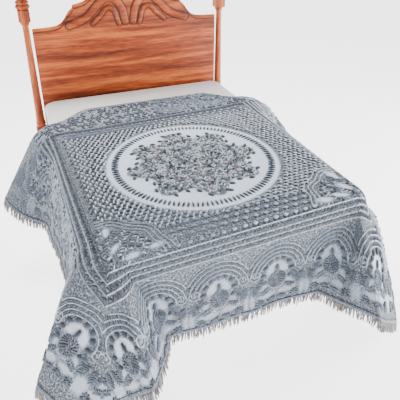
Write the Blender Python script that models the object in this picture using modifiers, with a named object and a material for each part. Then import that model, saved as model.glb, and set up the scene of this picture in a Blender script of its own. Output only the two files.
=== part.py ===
"""Chenille bedspread draped over a plain full-size bed with a turned-post headboard.

Metres, +Z up. While it is built, x = 0 is the bed's middle, y = 0 the mattress's foot edge,
+Y points to the headboard and z = 0 is the floor. At the end the whole bed is moved so that
its bounding box is centred on the origin.

The spread is one sheet. Every point of it has a place (across, along) on the flat cloth, and
one function lays that place on the bed: flat on the mattress, rolled over its rounded edge,
and then straight along a ruling of the hanging side. At each foot corner the spare cloth
stands out as a cone of two flanks and a face between two ridges.
"""

import math

import bmesh
import bpy
import numpy as np

# Bed
MATTRESS_WIDTH = 1.372
MATTRESS_LENGTH = 1.905
MATTRESS_THICK = 0.25
MATTRESS_TOP = 0.760
MATTRESS_CORNER = 0.09
MATTRESS_EDGE = 0.042
BOX_THICK = 0.20
BOX_SIDE_INSET = 0.014
BOX_END_INSET = 0.040
BOX_CORNER = 0.03
BOX_EDGE = 0.008
RAIL_THICK = 0.024
RAIL_HEIGHT = 0.15
RAIL_BOTTOM = 0.270
SLAT_WIDTH = 0.09
SLAT_THICK = 0.022
SLAT_PLACES = (0.30, 0.95, 1.60)
GAP = 0.0003

# Spread
CLOTH_THICK = 0.003
CLOTH_LIFT = 0.0065
CLOTH_SIDE_GAP = 0.009
CLOTH_ROLL = 0.045
DROP = 0.484
HEAD_FOLD = 1.611
HEAD_FOLD_SIDE = 1.44
HEAD_FOLD_BEND = (0.40, 0.66)
TURNED_UNDER = 0.20
LAYER_STEP = 0.0065
FAR_START = 0.62
FAR_ROWS = 14
DROP_LINES = 16

# The hanging sides: distance from the foot edge, tilt out of the vertical, lean to the foot
# (both in degrees), the length of cloth below the edge as a share of DROP, and the length of
# the arc on which it rolls over the edge.
SIDE_COLUMNS = ("along", "tilt", "lean", "reach", "arc")
LEFT_SIDE = (
    (0.00, 10.0, 0.0, 1.00, 0.071),
    (0.20, 10.5, 0.0, 1.00, 0.071),
    (0.34, 9.6, 0.0, 1.00, 0.071),
    (0.46, 8.0, 0.0, 1.00, 0.071),
    (0.63, 8.6, 0.0, 1.00, 0.071),
    (0.76, 9.4, 0.0, 1.00, 0.071),
    (0.89, 12.4, 0.0, 1.00, 0.071),
    (1.00, 13.0, 0.0, 1.00, 0.071),
    (1.07, 13.5, 3.0, 1.00, 0.08),
    (1.16, 19.0, 11.0, 1.03, 0.10),
    (1.27, 27.0, 20.0, 1.07, 0.15),
    (1.38, 32.0, 27.0, 1.11, 0.19),
    (1.61, 34.0, 30.0, 1.13, 0.21),
)
RIGHT_SIDE = (
    (0.00, 10.0, 0.0, 1.00, 0.071),
    (0.22, 7.5, 0.0, 1.00, 0.071),
    (0.42, 9.5, 0.0, 1.00, 0.071),
    (0.58, 7.0, 0.0, 1.00, 0.071),
    (0.78, 10.0, 0.0, 1.00, 0.071),
    (0.93, 8.0, 0.0, 1.00, 0.071),
    (1.06, 12.0, 0.0, 1.00, 0.08),
    (1.18, 20.0, 8.0, 1.02, 0.14),
    (1.32, 34.0, 15.0, 1.05, 0.27),
    (1.61, 40.0, 18.0, 1.08, 0.31),
)
# The hanging foot: distance across from the middle and tilt out of the vertical in degrees.
FOOT_COLUMNS = ("across", "tilt")
FOOT_END = (
    (-0.69, 3.0),
    (-0.48, 3.7),
    (-0.40, 1.4),
    (-0.31, 2.2),
    (-0.19, 4.0),
    (-0.05, 2.0),
    (0.06, 3.8),
    (0.16, 1.2),
    (0.27, 1.8),
    (0.38, 3.4),
    (0.69, 3.0),
)
# Foot-corner cones. A valley is a polar angle of the cloth about the mattress corner, where 0
# faces the foot and 90 the side. The columns of a fold between the valleys are that cloth angle,
# then the bearing it runs in (same zero) and its tilt out of the vertical. All are degrees. The
# left cone has two ridges with a shallow furrow between them, the right one has two ridges.
LEFT_VALLEYS = (-21.0, 113.0)
LEFT_FOLDS = ((5.0, -10.0, 35.0), (36.0, 8.0, 17.0), (68.5, 52.0, 33.0))
RIGHT_VALLEYS = (-18.0, 90.5)
RIGHT_FOLDS = ((17.5, -13.5, 38.5), (72.5, 101.0, 27.5))
FOLD_SOFTNESS = 10
VALLEY_BLEND = 5.0
CONE_BEGINS = {-1: (0.05, 0.24), 1: (0.09, 0.36)}
CONE_TIP_DROP = 0.43
CONE_LIMIT_SIDE = 0.35
CONE_LIMIT_FOOT = 0.60

# Fringe
FRINGE_BAND = 0.010
FRINGE_LENGTH = 0.047
FRINGE_THICK = 0.0030
FRINGE_PITCH = 0.0265
FRINGE_TIP_SHARE = 0.42
FRINGE_PART = 0.0030
FRINGE_END_SHARE = 0.3
FRINGE_FALL = 0.45

# Headboard
POST_X = 0.722
POST_Y = MATTRESS_LENGTH + 0.055
POST_BLOCK = 0.076
BOARD_THICK = 0.026
BOARD_BOTTOM = -0.20
LOWER_RAIL_HEIGHT = 0.11
LEG_SIZE = 0.060

# Turned posts: the columns are height and radius, from the bottom up. The foot's heights are
# above the floor, all others above the mattress's top.
POST_FOOT = ((0.0, 0.024), (0.02, 0.029), (0.06, 0.033), (0.10, 0.026), (0.12, 0.030))
POST_SHAFT = (
    (-0.22, 0.036), (-0.205, 0.030), (-0.19, 0.036), (-0.16, 0.031), (-0.06, 0.028),
    (0.24, 0.024), (0.52, 0.021), (0.545, 0.026), (0.556, 0.030), (0.57, 0.034),
)
POST_HEAD = (
    (0.650, 0.034), (0.660, 0.045), (0.675, 0.047), (0.687, 0.038), (0.700, 0.045),
    (0.715, 0.030), (0.730, 0.024), (0.760, 0.036), (0.795, 0.040), (0.830, 0.030),
    (0.850, 0.017), (0.865, 0.024), (0.885, 0.033), (0.910, 0.034), (0.935, 0.024),
    (0.950, 0.010),
)
CAP_BLOCK_BOTTOM = 0.57
CAP_BLOCK_TOP = 0.65

# Half of the headboard's top edge, from the middle out: distance across and height above
# the mattress's top.
BOARD_TOP = (
    (0.000, 0.735), (0.035, 0.745), (0.070, 0.780), (0.120, 0.790), (0.180, 0.775),
    (0.250, 0.725), (0.310, 0.680), (0.370, 0.662), (0.392, 0.658), (0.400, 0.636),
    (0.430, 0.608), (0.462, 0.562), (0.500, 0.530), (0.560, 0.516), (0.640, 0.512),
)
# Half of the carved scroll on the board's front: distance across and height.
SCROLL = (
    (0.030, 0.520), (0.050, 0.615), (0.105, 0.685), (0.175, 0.685), (0.235, 0.635),
    (0.290, 0.580), (0.350, 0.545), (0.430, 0.520),
)
SCROLL_INNER = ((0.075, 0.505), (0.110, 0.605), (0.160, 0.620), (0.205, 0.575), (0.265, 0.520))
SCROLL_RADIUS = 0.009

SPREAD_COLOUR = (0.43, 0.49, 0.57, 1.0)
FRINGE_COLOUR = (0.36, 0.35, 0.36, 1.0)
SHEET_COLOUR = (0.78, 0.78, 0.75, 1.0)
TICKING_COLOUR = (0.66, 0.66, 0.63, 1.0)
WOOD_COLOUR = (0.42, 0.12, 0.035, 1.0)

DOWN = np.array((0.0, 0.0, -1.0))


def smooth_step(value):
    """0 below 0, 1 above 1, and a smooth ramp between."""
    t = np.clip(value, 0.0, 1.0)
    return t * t * (3.0 - 2.0 * t)


def unit(vectors):
    """The vectors at length 1."""
    return vectors / np.linalg.norm(vectors, axis=-1, keepdims=True)


def slerp(first, second, share):
    """Points on the great circle from one direction to another."""
    angle = math.acos(float(np.clip(np.dot(first, second), -1.0, 1.0)))
    share = np.asarray(share)[..., None]
    blend = np.sin((1.0 - share) * angle) * first + np.sin(share * angle) * second
    return blend / math.sin(angle)


def bearing_direction(bearing, tilt, side):
    """A ray from its compass bearing (0 to the foot, 90 to the side) and its tilt, in degrees."""
    b, t = math.radians(bearing), math.radians(tilt)
    return np.array((side * math.sin(b) * math.sin(t), -math.cos(b) * math.sin(t), -math.cos(t)))


def panel_direction(cloth_angle, side, foot_tilt, side_tilt):
    """A ray that lies in the foot panel (cloth angle up to 45) or in the side panel (past it)."""
    if cloth_angle < 45.0:
        a, t = math.radians(cloth_angle), math.radians(foot_tilt)
        ray = (side * math.sin(a), -math.sin(t) * math.cos(a), -math.cos(t) * math.cos(a))
    else:
        a, t = math.radians(cloth_angle - 90.0), math.radians(side_tilt)
        ray = (side * math.sin(t) * math.cos(a), math.sin(a), -math.cos(t) * math.cos(a))
    return unit(np.array(ray))


def cone_directions(side, valleys, folds):
    """The cone's ray at each cloth angle: great circles between the folds, then softened."""
    tilts = (FOOT_END[0][1], LEFT_SIDE[0][1])
    rays = [(-60.0, panel_direction(-60.0, side, *tilts))]
    rays.append((valleys[0], panel_direction(valleys[0], side, *tilts)))
    rays += [(angle, bearing_direction(bearing, tilt, side)) for angle, bearing, tilt in folds]
    rays.append((valleys[1], panel_direction(valleys[1], side, *tilts)))
    rays.append((150.0, panel_direction(150.0, side, *tilts)))
    angles = np.arange(-60.0, 150.5, 0.5)
    directions = np.zeros((len(angles), 3))
    for (start, first), (end, second) in zip(rays, rays[1:]):
        inside = (angles >= start) & (angles <= end)
        directions[inside] = slerp(first, second, (angles[inside] - start) / (end - start))
    window = np.hanning(2 * FOLD_SOFTNESS + 3)[1:-1]
    window /= window.sum()
    padded = np.pad(directions, ((FOLD_SOFTNESS, FOLD_SOFTNESS), (0, 0)), mode="edge")
    soft = [np.convolve(padded[:, k], window, mode="valid") for k in range(3)]
    return angles, unit(np.stack(soft, -1))


CONES = {
    -1: cone_directions(-1, LEFT_VALLEYS, LEFT_FOLDS),
    1: cone_directions(1, RIGHT_VALLEYS, RIGHT_FOLDS),
}
CONE_VALLEYS = {-1: LEFT_VALLEYS, 1: RIGHT_VALLEYS}
CONE_FOLDS = {-1: LEFT_FOLDS, 1: RIGHT_FOLDS}


def smooth_rows(rows, column, at):
    """A table's column at any place: its straight runs softened over a few centimetres."""
    rows = np.array(rows)
    offsets = np.linspace(-0.05, 0.05, 9)
    values = [np.interp(at + offset, rows[:, 0], rows[:, column]) for offset in offsets]
    return np.mean(values, axis=0)


def side_column(name, across, along):
    """A column of the left or the right side's table at a place of the cloth."""
    column = SIDE_COLUMNS.index(name)
    left = smooth_rows(LEFT_SIDE, column, along)
    right = smooth_rows(RIGHT_SIDE, column, along)
    return np.where(across < 0.0, left, right)


def hanging_direction(across, along, out):
    """The ruling on which a place of the cloth hangs: its tilt outwards and its lean to the foot."""
    foot_tilt = np.radians(smooth_rows(FOOT_END, FOOT_COLUMNS.index("tilt"), across))
    side_tilt = np.radians(side_column("tilt", across, along))
    sideways = out[..., 0] ** 2
    tilt = sideways * side_tilt + (1.0 - sideways) * foot_tilt
    lean = sideways * np.radians(side_column("lean", across, along))
    down = np.stack([np.zeros_like(lean), -np.sin(lean), -np.cos(lean)], -1)
    return unit(np.sin(tilt)[..., None] * out + np.cos(tilt)[..., None] * down)


def roll_and_hang(start, out, ruling, distance, arc):
    """From start, the cloth turns from level to its ruling on an arc and then runs straight."""
    arc = arc[..., None]
    cosine = np.clip((out * ruling).sum(-1, keepdims=True), -0.99, 0.99)
    turn = np.arccos(cosine)
    across = unit(ruling - cosine * out)
    radius = arc / turn
    distance = distance[..., None]
    angle = np.clip(distance / radius, 0.0, turn)
    bent = radius * (np.sin(angle) * out + (1.0 - np.cos(angle)) * across)
    return start + bent + np.maximum(0.0, distance - arc) * ruling


def drape(across, along):
    """Where a place of the flat cloth lies on the bed.

    The place is split into the nearest point of the mattress's core, which leaves out the
    rounded corner, and the way out from there. Up to the roll the cloth is level. Past it
    the cloth rolls over and hangs on its ruling. Near a foot corner this is blended into
    the cone: the cone's tip plus the cloth's own distance along the ray of its cloth angle.
    """
    across, along = np.broadcast_arrays(np.asarray(across, float), np.asarray(along, float))
    core_x = MATTRESS_WIDTH / 2.0 - MATTRESS_CORNER
    core_y = MATTRESS_CORNER
    flat = np.stack([across, along, np.zeros_like(along)], -1)
    core = flat.copy()
    core[..., 0] = np.clip(across, -core_x, core_x)
    core[..., 1] = np.maximum(along, core_y)
    offset = flat - core
    reach = np.linalg.norm(offset, axis=-1)
    outside = reach[..., None] > 1e-6
    out = np.where(outside, offset / np.maximum(reach, 1e-6)[..., None], [0.0, -1.0, 0.0])
    level = MATTRESS_CORNER + CLOTH_SIDE_GAP - CLOTH_ROLL
    distance = np.maximum(0.0, reach - level)
    sideways = out[..., 0] ** 2
    distance = distance * (1.0 + (side_column("reach", across, along) - 1.0) * sideways)
    plain_arc = CLOTH_ROLL * math.pi / 2.0
    arc = plain_arc + (side_column("arc", across, along) - plain_arc) * sideways
    start = core + np.minimum(reach, level)[..., None] * out
    start[..., 2] = MATTRESS_TOP + CLOTH_LIFT
    ruling = hanging_direction(across, along, out)
    place = roll_and_hang(start, out, ruling, distance, arc)
    for side in (-1, 1):
        sideways = side * across - core_x
        footward = core_y - along
        angle = np.degrees(np.arctan2(sideways, footward))
        span = np.hypot(sideways, footward)
        angles, directions = CONES[side]
        ray = np.stack([np.interp(angle, angles, directions[:, k]) for k in range(3)], -1)
        first_fold, last_fold = CONE_FOLDS[side][0][0], CONE_FOLDS[side][-1][0]
        turned = smooth_step((angle - first_fold) / (last_fold - first_fold)) * math.pi / 2.0
        rim = MATTRESS_CORNER + CLOTH_SIDE_GAP
        tip = np.stack([
            side * (core_x + rim * np.sin(turned)),
            core_y - rim * np.cos(turned),
            np.full_like(turned, MATTRESS_TOP + CLOTH_LIFT + rim - CONE_TIP_DROP * CLOTH_ROLL),
        ], -1)
        cone = tip + span[..., None] * unit(ray)
        start_valley, end_valley = CONE_VALLEYS[side]
        share = smooth_step((angle - start_valley + VALLEY_BLEND) / (2.0 * VALLEY_BLEND))
        share = share * smooth_step((end_valley - angle + VALLEY_BLEND) / (2.0 * VALLEY_BLEND))
        starts, full = CONE_BEGINS[side]
        share = share * smooth_step((span - starts) / (full - starts))
        near = (sideways > -CONE_LIMIT_SIDE) & (footward > -CONE_LIMIT_FOOT)
        share = np.where(near, share, 0.0)[..., None]
        place = (1.0 - share) * place + share * cone
    return place


def drape_normal(across, along, step=0.004):
    """The cloth's outward normal at a place, by small differences."""
    tangent_x = drape(across + step, along) - drape(across - step, along)
    tangent_y = drape(across, along + step) - drape(across, along - step)
    return unit(np.cross(tangent_x, tangent_y))


def head_fold(across):
    """How far from the foot edge the cloth folds under, at each distance across."""
    start, end = HEAD_FOLD_BEND
    share = smooth_step((np.abs(across) - start) / (end - start))
    return HEAD_FOLD - (HEAD_FOLD - HEAD_FOLD_SIDE) * share


def spread_lines():
    """The grid's lines across the cloth, and its lines along it as far as FAR_START."""
    edge = MATTRESS_WIDTH / 2.0
    roll_start = edge + CLOTH_SIDE_GAP - CLOTH_ROLL
    roll_end = roll_start + CLOTH_ROLL * math.pi / 2.0
    core = edge - MATTRESS_CORNER
    half = np.concatenate([
        np.linspace(0.0, core, 4)[1:],
        np.linspace(roll_start, roll_end, 4)[:-1],
        np.linspace(roll_end, edge + DROP, DROP_LINES),
    ])
    across = np.concatenate([-half[::-1], [0.0], half])
    foot_roll_end = -(roll_end - edge)
    foot_roll_start = edge - roll_start
    near = np.concatenate([
        np.linspace(-DROP, foot_roll_end, DROP_LINES)[:-1],
        np.linspace(foot_roll_end, foot_roll_start, 4)[:-1],
        np.linspace(foot_roll_start, MATTRESS_CORNER, 3)[:-1],
        np.linspace(MATTRESS_CORNER, FAR_START, 6)[:-1],
    ])
    return across, near


def spread_surface():
    """The spread's middle surface as a grid of points, from the foot hem round the head fold."""
    across, near = spread_lines()
    half_step = LAYER_STEP / 2.0
    rows = []
    for along in near:
        rows.append((np.full_like(across, along), np.zeros_like(across)))
    fold = head_fold(across)
    for share in np.linspace(0.0, 1.0, FAR_ROWS):
        along = FAR_START + share * (fold - FAR_START)
        rise = smooth_step((along - (fold - TURNED_UNDER - 0.10)) / 0.08)
        rows.append((along, LAYER_STEP * rise))
    for angle in (60.0, 120.0):
        turn = math.radians(angle)
        lift = np.full_like(fold, half_step * (1.0 + math.cos(turn)))
        rows.append((fold + half_step * math.sin(turn), lift))
    for share in (0.0, 0.5, 1.0):
        rows.append((fold - share * TURNED_UNDER, np.zeros_like(fold)))
    grid = []
    for along, lift in rows:
        grid.append(drape(across, along) + lift[:, None] * drape_normal(across, along))
    return np.array(grid)


def grid_faces(rows, columns):
    """Quads of a grid of points, wound so that they face up on a grid whose rows run along +Y."""
    index = np.arange(rows * columns).reshape(rows, columns)
    quads = np.stack([index[:-1, :-1], index[:-1, 1:], index[1:, 1:], index[1:, :-1]], -1)
    return quads.reshape(-1, 4)


def material(name, colour, roughness, metallic=0.0):
    """A plain surface of one colour."""
    made = bpy.data.materials.new(name)
    made.use_nodes = True
    shader = made.node_tree.nodes["Principled BSDF"]
    shader.inputs["Base Color"].default_value = colour
    shader.inputs["Roughness"].default_value = roughness
    shader.inputs["Metallic"].default_value = metallic
    return made


def new_collection(name):
    """A collection in the scene."""
    made = bpy.data.collections.new(name)
    bpy.context.scene.collection.children.link(made)
    return made


def add_mesh(name, points, faces, finish, smooth=True):
    """A mesh object from points and faces."""
    mesh = bpy.data.meshes.new(name)
    mesh.from_pydata([tuple(p) for p in points], [], [tuple(int(i) for i in f) for f in faces])
    mesh.validate()
    if smooth:
        mesh.shade_smooth()
        mesh.set_sharp_from_angle(angle=math.radians(40.0))
    mesh.materials.append(finish)
    made = bpy.data.objects.new(name, mesh)
    PARTS.objects.link(made)
    made.parent = ORIGIN
    return made


def add_box(name, size, centre, finish, bevel=0.003, segments=1):
    """A board or block: a cube with small rounded edges, placed by its centre."""
    mesh = bpy.data.meshes.new(name)
    shape = bmesh.new()
    bmesh.ops.create_cube(shape, size=1.0)
    bmesh.ops.scale(shape, vec=size, verts=shape.verts)
    shape.to_mesh(mesh)
    shape.free()
    mesh.materials.append(finish)
    made = bpy.data.objects.new(name, mesh)
    made.location = centre
    PARTS.objects.link(made)
    made.parent = ORIGIN
    if bevel:
        rounding = made.modifiers.new("rounding", "BEVEL")
        rounding.width = bevel
        rounding.segments = segments
    return made


def add_cushioned_block(name, size, centre, corner, edge, finish):
    """A mattress or box spring: a block with round corners and soft upper and lower edges."""
    mesh = bpy.data.meshes.new(name)
    shape = bmesh.new()
    bmesh.ops.create_cube(shape, size=1.0)
    bmesh.ops.scale(shape, vec=size, verts=shape.verts)
    uprights = [e for e in shape.edges if abs(e.verts[0].co.z - e.verts[1].co.z) > size[2] / 2.0]
    bmesh.ops.bevel(shape, geom=uprights, offset=corner, segments=5, profile=0.5, affect="EDGES")
    rims = [
        e for e in shape.edges
        if abs(e.verts[0].co.z - e.verts[1].co.z) < 1e-6 and len(e.link_faces) == 2
        and any(abs(f.normal.z) > 0.9 for f in e.link_faces)
    ]
    bmesh.ops.bevel(shape, geom=rims, offset=edge, segments=3, profile=0.5, affect="EDGES")
    shape.to_mesh(mesh)
    shape.free()
    mesh.shade_smooth()
    mesh.set_sharp_from_angle(angle=math.radians(40.0))
    mesh.materials.append(finish)
    made = bpy.data.objects.new(name, mesh)
    made.location = centre
    PARTS.objects.link(made)
    made.parent = ORIGIN
    return made


def add_turned(name, profile, place, finish, sides=16):
    """A turned piece: its profile, listed from the bottom up, spun about Z by a Screw modifier."""
    points = [(0.0, 0.0, profile[-1][0])]
    points += [(radius, 0.0, height) for height, radius in reversed(profile)]
    points += [(0.0, 0.0, profile[0][0])]
    mesh = bpy.data.meshes.new(name)
    mesh.from_pydata(points, [(i, i + 1) for i in range(len(points) - 1)], [])
    mesh.materials.append(finish)
    made = bpy.data.objects.new(name, mesh)
    made.location = place
    PARTS.objects.link(made)
    made.parent = ORIGIN
    spin = made.modifiers.new("turning", "SCREW")
    spin.axis = "Z"
    spin.angle = 2.0 * math.pi
    spin.steps = sides
    spin.render_steps = sides
    spin.use_merge_vertices = True
    spin.merge_threshold = 0.0001
    spin.use_smooth_shade = True
    return made


def add_outline_board(name, outline, thick, centre, finish):
    """A flat board: a closed 2D outline in the XZ plane with half its thickness each way."""
    curve = bpy.data.curves.new(name, "CURVE")
    curve.dimensions = "2D"
    curve.fill_mode = "BOTH"
    curve.extrude = thick / 2.0
    spline = curve.splines.new("POLY")
    spline.points.add(len(outline) - 1)
    for point, (across, height) in zip(spline.points, outline):
        point.co = (across, height, 0.0, 1.0)
    spline.use_cyclic_u = True
    curve.materials.append(finish)
    made = bpy.data.objects.new(name, curve)
    made.rotation_euler = (math.pi / 2.0, 0.0, 0.0)
    made.location = centre
    PARTS.objects.link(made)
    made.parent = ORIGIN
    return made


def add_moulding(name, route, radius, finish):
    """A carved bead laid on a flat face: a bevelled curve with filled caps."""
    curve = bpy.data.curves.new(name, "CURVE")
    curve.dimensions = "3D"
    curve.bevel_depth = radius
    curve.bevel_resolution = 1
    curve.use_fill_caps = True
    spline = curve.splines.new("POLY")
    spline.points.add(len(route) - 1)
    for point, place in zip(spline.points, route):
        point.co = (*place, 1.0)
    curve.materials.append(finish)
    made = bpy.data.objects.new(name, curve)
    PARTS.objects.link(made)
    made.parent = ORIGIN
    return made


def rounded_route(points, steps):
    """More points on a smooth curve through the given ones (Catmull-Rom)."""
    points = np.array(points, float)
    padded = np.vstack([2 * points[0] - points[1], points, 2 * points[-1] - points[-2]])
    made = []
    for a, b, c, d in zip(padded, padded[1:], padded[2:], padded[3:]):
        for t in np.arange(steps) / steps:
            made.append(0.5 * (2 * b + (c - a) * t + (2 * a - 5 * b + 4 * c - d) * t**2
                               + (3 * b - a - 3 * c + d) * t**3))
    made.append(points[-1])
    return np.array(made)


def hem_lines(grid, name):
    """Two lines of the spread's grid along a fringed hem: the hem itself and the line inside it."""
    if name == "foot":
        return grid[0], grid[1]
    last = len(spread_lines()[1]) + FAR_ROWS
    if name == "left":
        return grid[:last, 0], grid[:last, 1]
    return grid[:last, -1], grid[:last, -2]


def lock_places(edge):
    """Each lock's place along a hem as a line number and a share: whole locks between two lines."""
    places = []
    for number, length in enumerate(np.linalg.norm(np.diff(edge, axis=0), axis=1)):
        locks = max(1, round(length / FRINGE_PITCH))
        places += [number + k / locks for k in range(locks)]
    places[0] += FRINGE_END_SHARE
    return np.array(places + [len(edge) - 1.0 - FRINGE_END_SHARE])


def along_lines(values, places):
    """Values at the hem's lines, read between the lines."""
    return np.stack([np.interp(places, np.arange(len(values)), values[:, k]) for k in range(3)], -1)


def add_fringe(name, grid, finish):
    """A narrow band along a hem whose lower edge is cut into tapering locks.

    Each column of the band has four corners: outer and inner, upper and lower. The band's
    lower face is drawn down between two columns to a lock's narrow tip.
    """
    hem, inside = hem_lines(grid, name)
    places = lock_places(hem)
    edge = along_lines(hem, places)
    outward = unit(edge - along_lines(inside, places))
    tangent = unit(np.gradient(edge, axis=0))
    normal = unit(np.cross(tangent, outward))
    outward = unit(np.cross(normal, tangent))
    half = FRINGE_THICK / 2.0 * normal
    upper = edge + FRINGE_PART * outward
    lower = edge + (FRINGE_PART + FRINGE_BAND) * outward
    band = np.stack([upper + half, upper - half, lower - half, lower + half], 1)
    count = len(edge)
    points = list(band.reshape(-1, 3))
    faces = [(0, 1, 2, 3), tuple(4 * (count - 1) + k for k in (3, 2, 1, 0))]
    hang = unit((1.0 - FRINGE_FALL) * outward + FRINGE_FALL * DOWN)
    for k in range(count - 1):
        here, there = 4 * k, 4 * (k + 1)
        for side in (0, 1, 3):
            after = (side + 1) % 4
            faces.append((here + side, there + side, there + after, here + after))
        drop = FRINGE_LENGTH * unit(hang[k] + hang[k + 1])
        corners = np.array([band[k, 3], band[k + 1, 3], band[k + 1, 2], band[k, 2]])
        middle = corners.mean(0)
        tip = middle + FRINGE_TIP_SHARE * (corners - middle) + drop
        first = len(points)
        points += list(tip)
        roots = (here + 3, there + 3, there + 2, here + 2)
        for side in range(4):
            after = (side + 1) % 4
            faces.append((roots[side], roots[after], first + after, first + side))
        faces.append(tuple(first + side for side in range(4)))
    made = add_mesh(f"fringe_{name}", points, faces, finish, smooth=False)
    face_outwards(made.data)
    return made


def face_outwards(mesh):
    """Turn a closed mesh's faces outwards."""
    shape = bmesh.new()
    shape.from_mesh(mesh)
    bmesh.ops.recalc_face_normals(shape, faces=shape.faces)
    shape.to_mesh(mesh)
    shape.free()


def build_bedspread(grid, finish):
    """The spread: the draped sheet with its head end turned under, given its thickness."""
    rows, columns = grid.shape[:2]
    sheet = add_mesh("bedspread", grid.reshape(-1, 3), grid_faces(rows, columns), finish)
    thickness = sheet.modifiers.new("thickness", "SOLIDIFY")
    thickness.thickness = CLOTH_THICK
    thickness.offset = 0.0
    thickness.use_even_offset = True
    return sheet


def build_mattress_and_base(sheet_finish, ticking_finish, wood):
    """The mattress, the box spring, the rails that hold it, the slats and the two foot legs."""
    middle = MATTRESS_LENGTH / 2.0
    bottom = MATTRESS_TOP - MATTRESS_THICK
    add_cushioned_block(
        "mattress", (MATTRESS_WIDTH, MATTRESS_LENGTH, MATTRESS_THICK),
        (0.0, middle, MATTRESS_TOP - MATTRESS_THICK / 2.0), MATTRESS_CORNER, MATTRESS_EDGE, sheet_finish,
    )
    width = MATTRESS_WIDTH - 2.0 * BOX_SIDE_INSET
    length = MATTRESS_LENGTH - 2.0 * BOX_END_INSET
    add_cushioned_block(
        "box_spring", (width, length, BOX_THICK),
        (0.0, middle, bottom - GAP - BOX_THICK / 2.0), BOX_CORNER, BOX_EDGE, ticking_finish,
    )
    slat_top = bottom - 2.0 * GAP - BOX_THICK
    rail_x = width / 2.0 + GAP + RAIL_THICK / 2.0
    foot_y = BOX_END_INSET - GAP - RAIL_THICK / 2.0
    rail_z = RAIL_BOTTOM + RAIL_HEIGHT / 2.0
    rail_end = POST_Y - POST_BLOCK / 2.0 - GAP
    rail_start = foot_y + RAIL_THICK / 2.0 + GAP
    leg_top = RAIL_BOTTOM - GAP
    leg_inset = (LEG_SIZE - RAIL_THICK) / 2.0
    for label, side in (("left", -1.0), ("right", 1.0)):
        add_box(
            f"side_rail_{label}", (RAIL_THICK, rail_end - rail_start, RAIL_HEIGHT),
            (side * rail_x, (rail_start + rail_end) / 2.0, rail_z), wood,
        )
        add_box(
            f"foot_leg_{label}", (LEG_SIZE, LEG_SIZE, leg_top),
            (side * (rail_x - leg_inset), foot_y + leg_inset, leg_top / 2.0), wood,
        )
    add_box(
        "foot_rail", (2.0 * rail_x + RAIL_THICK, RAIL_THICK, RAIL_HEIGHT),
        (0.0, foot_y, rail_z), wood,
    )
    for number, place in enumerate(SLAT_PLACES, 1):
        add_box(
            f"slat_{number}", (width, SLAT_WIDTH, SLAT_THICK),
            (0.0, place, slat_top - GAP - SLAT_THICK / 2.0), wood,
        )


def build_headboard(wood):
    """Two turned posts, the shaped board between them with its carved scrolls, and a lower rail."""
    for label, side in (("left", -1.0), ("right", 1.0)):
        x = side * POST_X
        foot_top, foot_radius = POST_FOOT[-1]
        foot = (*POST_FOOT[:-1], (foot_top - GAP, foot_radius))
        add_turned(f"post_foot_{label}", foot, (x, POST_Y, 0.0), wood)
        block_height = MATTRESS_TOP + POST_SHAFT[0][0] - GAP - foot_top
        add_box(
            f"post_block_{label}", (POST_BLOCK, POST_BLOCK, block_height),
            (x, POST_Y, foot_top + block_height / 2.0), wood,
        )
        shaft_top, shaft_radius = POST_SHAFT[-1]
        shaft = (*POST_SHAFT[:-1], (shaft_top - GAP, shaft_radius))
        add_turned(f"post_shaft_{label}", shaft, (x, POST_Y, MATTRESS_TOP), wood)
        cap_height = CAP_BLOCK_TOP - CAP_BLOCK_BOTTOM - GAP
        add_box(
            f"post_cap_block_{label}", (POST_BLOCK, POST_BLOCK, cap_height),
            (x, POST_Y, MATTRESS_TOP + CAP_BLOCK_BOTTOM + cap_height / 2.0), wood,
        )
        add_turned(f"post_finial_{label}", POST_HEAD, (x, POST_Y, MATTRESS_TOP), wood)
    half_width = POST_X - POST_BLOCK / 2.0 - GAP
    top = [tuple(p) for p in rounded_route(BOARD_TOP, 2) if p[0] < half_width]
    right = [(half_width, BOARD_BOTTOM), (half_width, BOARD_TOP[-1][1]), *top[::-1]]
    left = [(-across, height) for across, height in reversed(right[:-1])]
    add_outline_board("headboard_panel", right + left, BOARD_THICK, (0.0, POST_Y, MATTRESS_TOP), wood)
    add_box(
        "headboard_lower_rail", (2.0 * half_width, RAIL_THICK, LOWER_RAIL_HEIGHT),
        (0.0, POST_Y, MATTRESS_TOP + BOARD_BOTTOM - GAP - LOWER_RAIL_HEIGHT / 2.0), wood,
    )
    face_y = POST_Y - BOARD_THICK / 2.0 - GAP - SCROLL_RADIUS
    for label, side in (("left", -1.0), ("right", 1.0)):
        for kind, route in (("outer", SCROLL), ("inner", SCROLL_INNER)):
            places = [(side * x, face_y, MATTRESS_TOP + z) for x, z in rounded_route(route, 3)]
            add_moulding(f"scroll_{kind}_{label}", places, SCROLL_RADIUS, wood)


def centre_on_floor():
    """Move the whole bed so that its box is centred over the origin and stands on z = 0."""
    bpy.context.view_layer.update()
    graph = bpy.context.evaluated_depsgraph_get()
    low, high = np.full(3, np.inf), np.full(3, -np.inf)
    for part in PARTS.objects:
        evaluated = part.evaluated_get(graph)
        mesh = evaluated.to_mesh()
        points = np.array([evaluated.matrix_world @ v.co for v in mesh.vertices])
        evaluated.to_mesh_clear()
        low, high = np.minimum(low, points.min(0)), np.maximum(high, points.max(0))
    ORIGIN.location = (-(low[0] + high[0]) / 2.0, -(low[1] + high[1]) / 2.0, -low[2])
    bpy.context.view_layer.update()


for old in list(bpy.data.objects):
    bpy.data.objects.remove(old, do_unlink=True)

PARTS = new_collection("bedspread_on_bed")
ORIGIN = bpy.data.objects.new("bed_origin", None)
new_collection("placement").objects.link(ORIGIN)

spread_cloth = material("tufted_cotton", SPREAD_COLOUR, 0.95)
fringe_yarn = material("fringe_yarn", FRINGE_COLOUR, 0.95)
sheet_cloth = material("white_sheet", SHEET_COLOUR, 0.9)
ticking = material("box_spring_cloth", TICKING_COLOUR, 0.9)
stained_wood = material("stained_wood", WOOD_COLOUR, 0.35)

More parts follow.
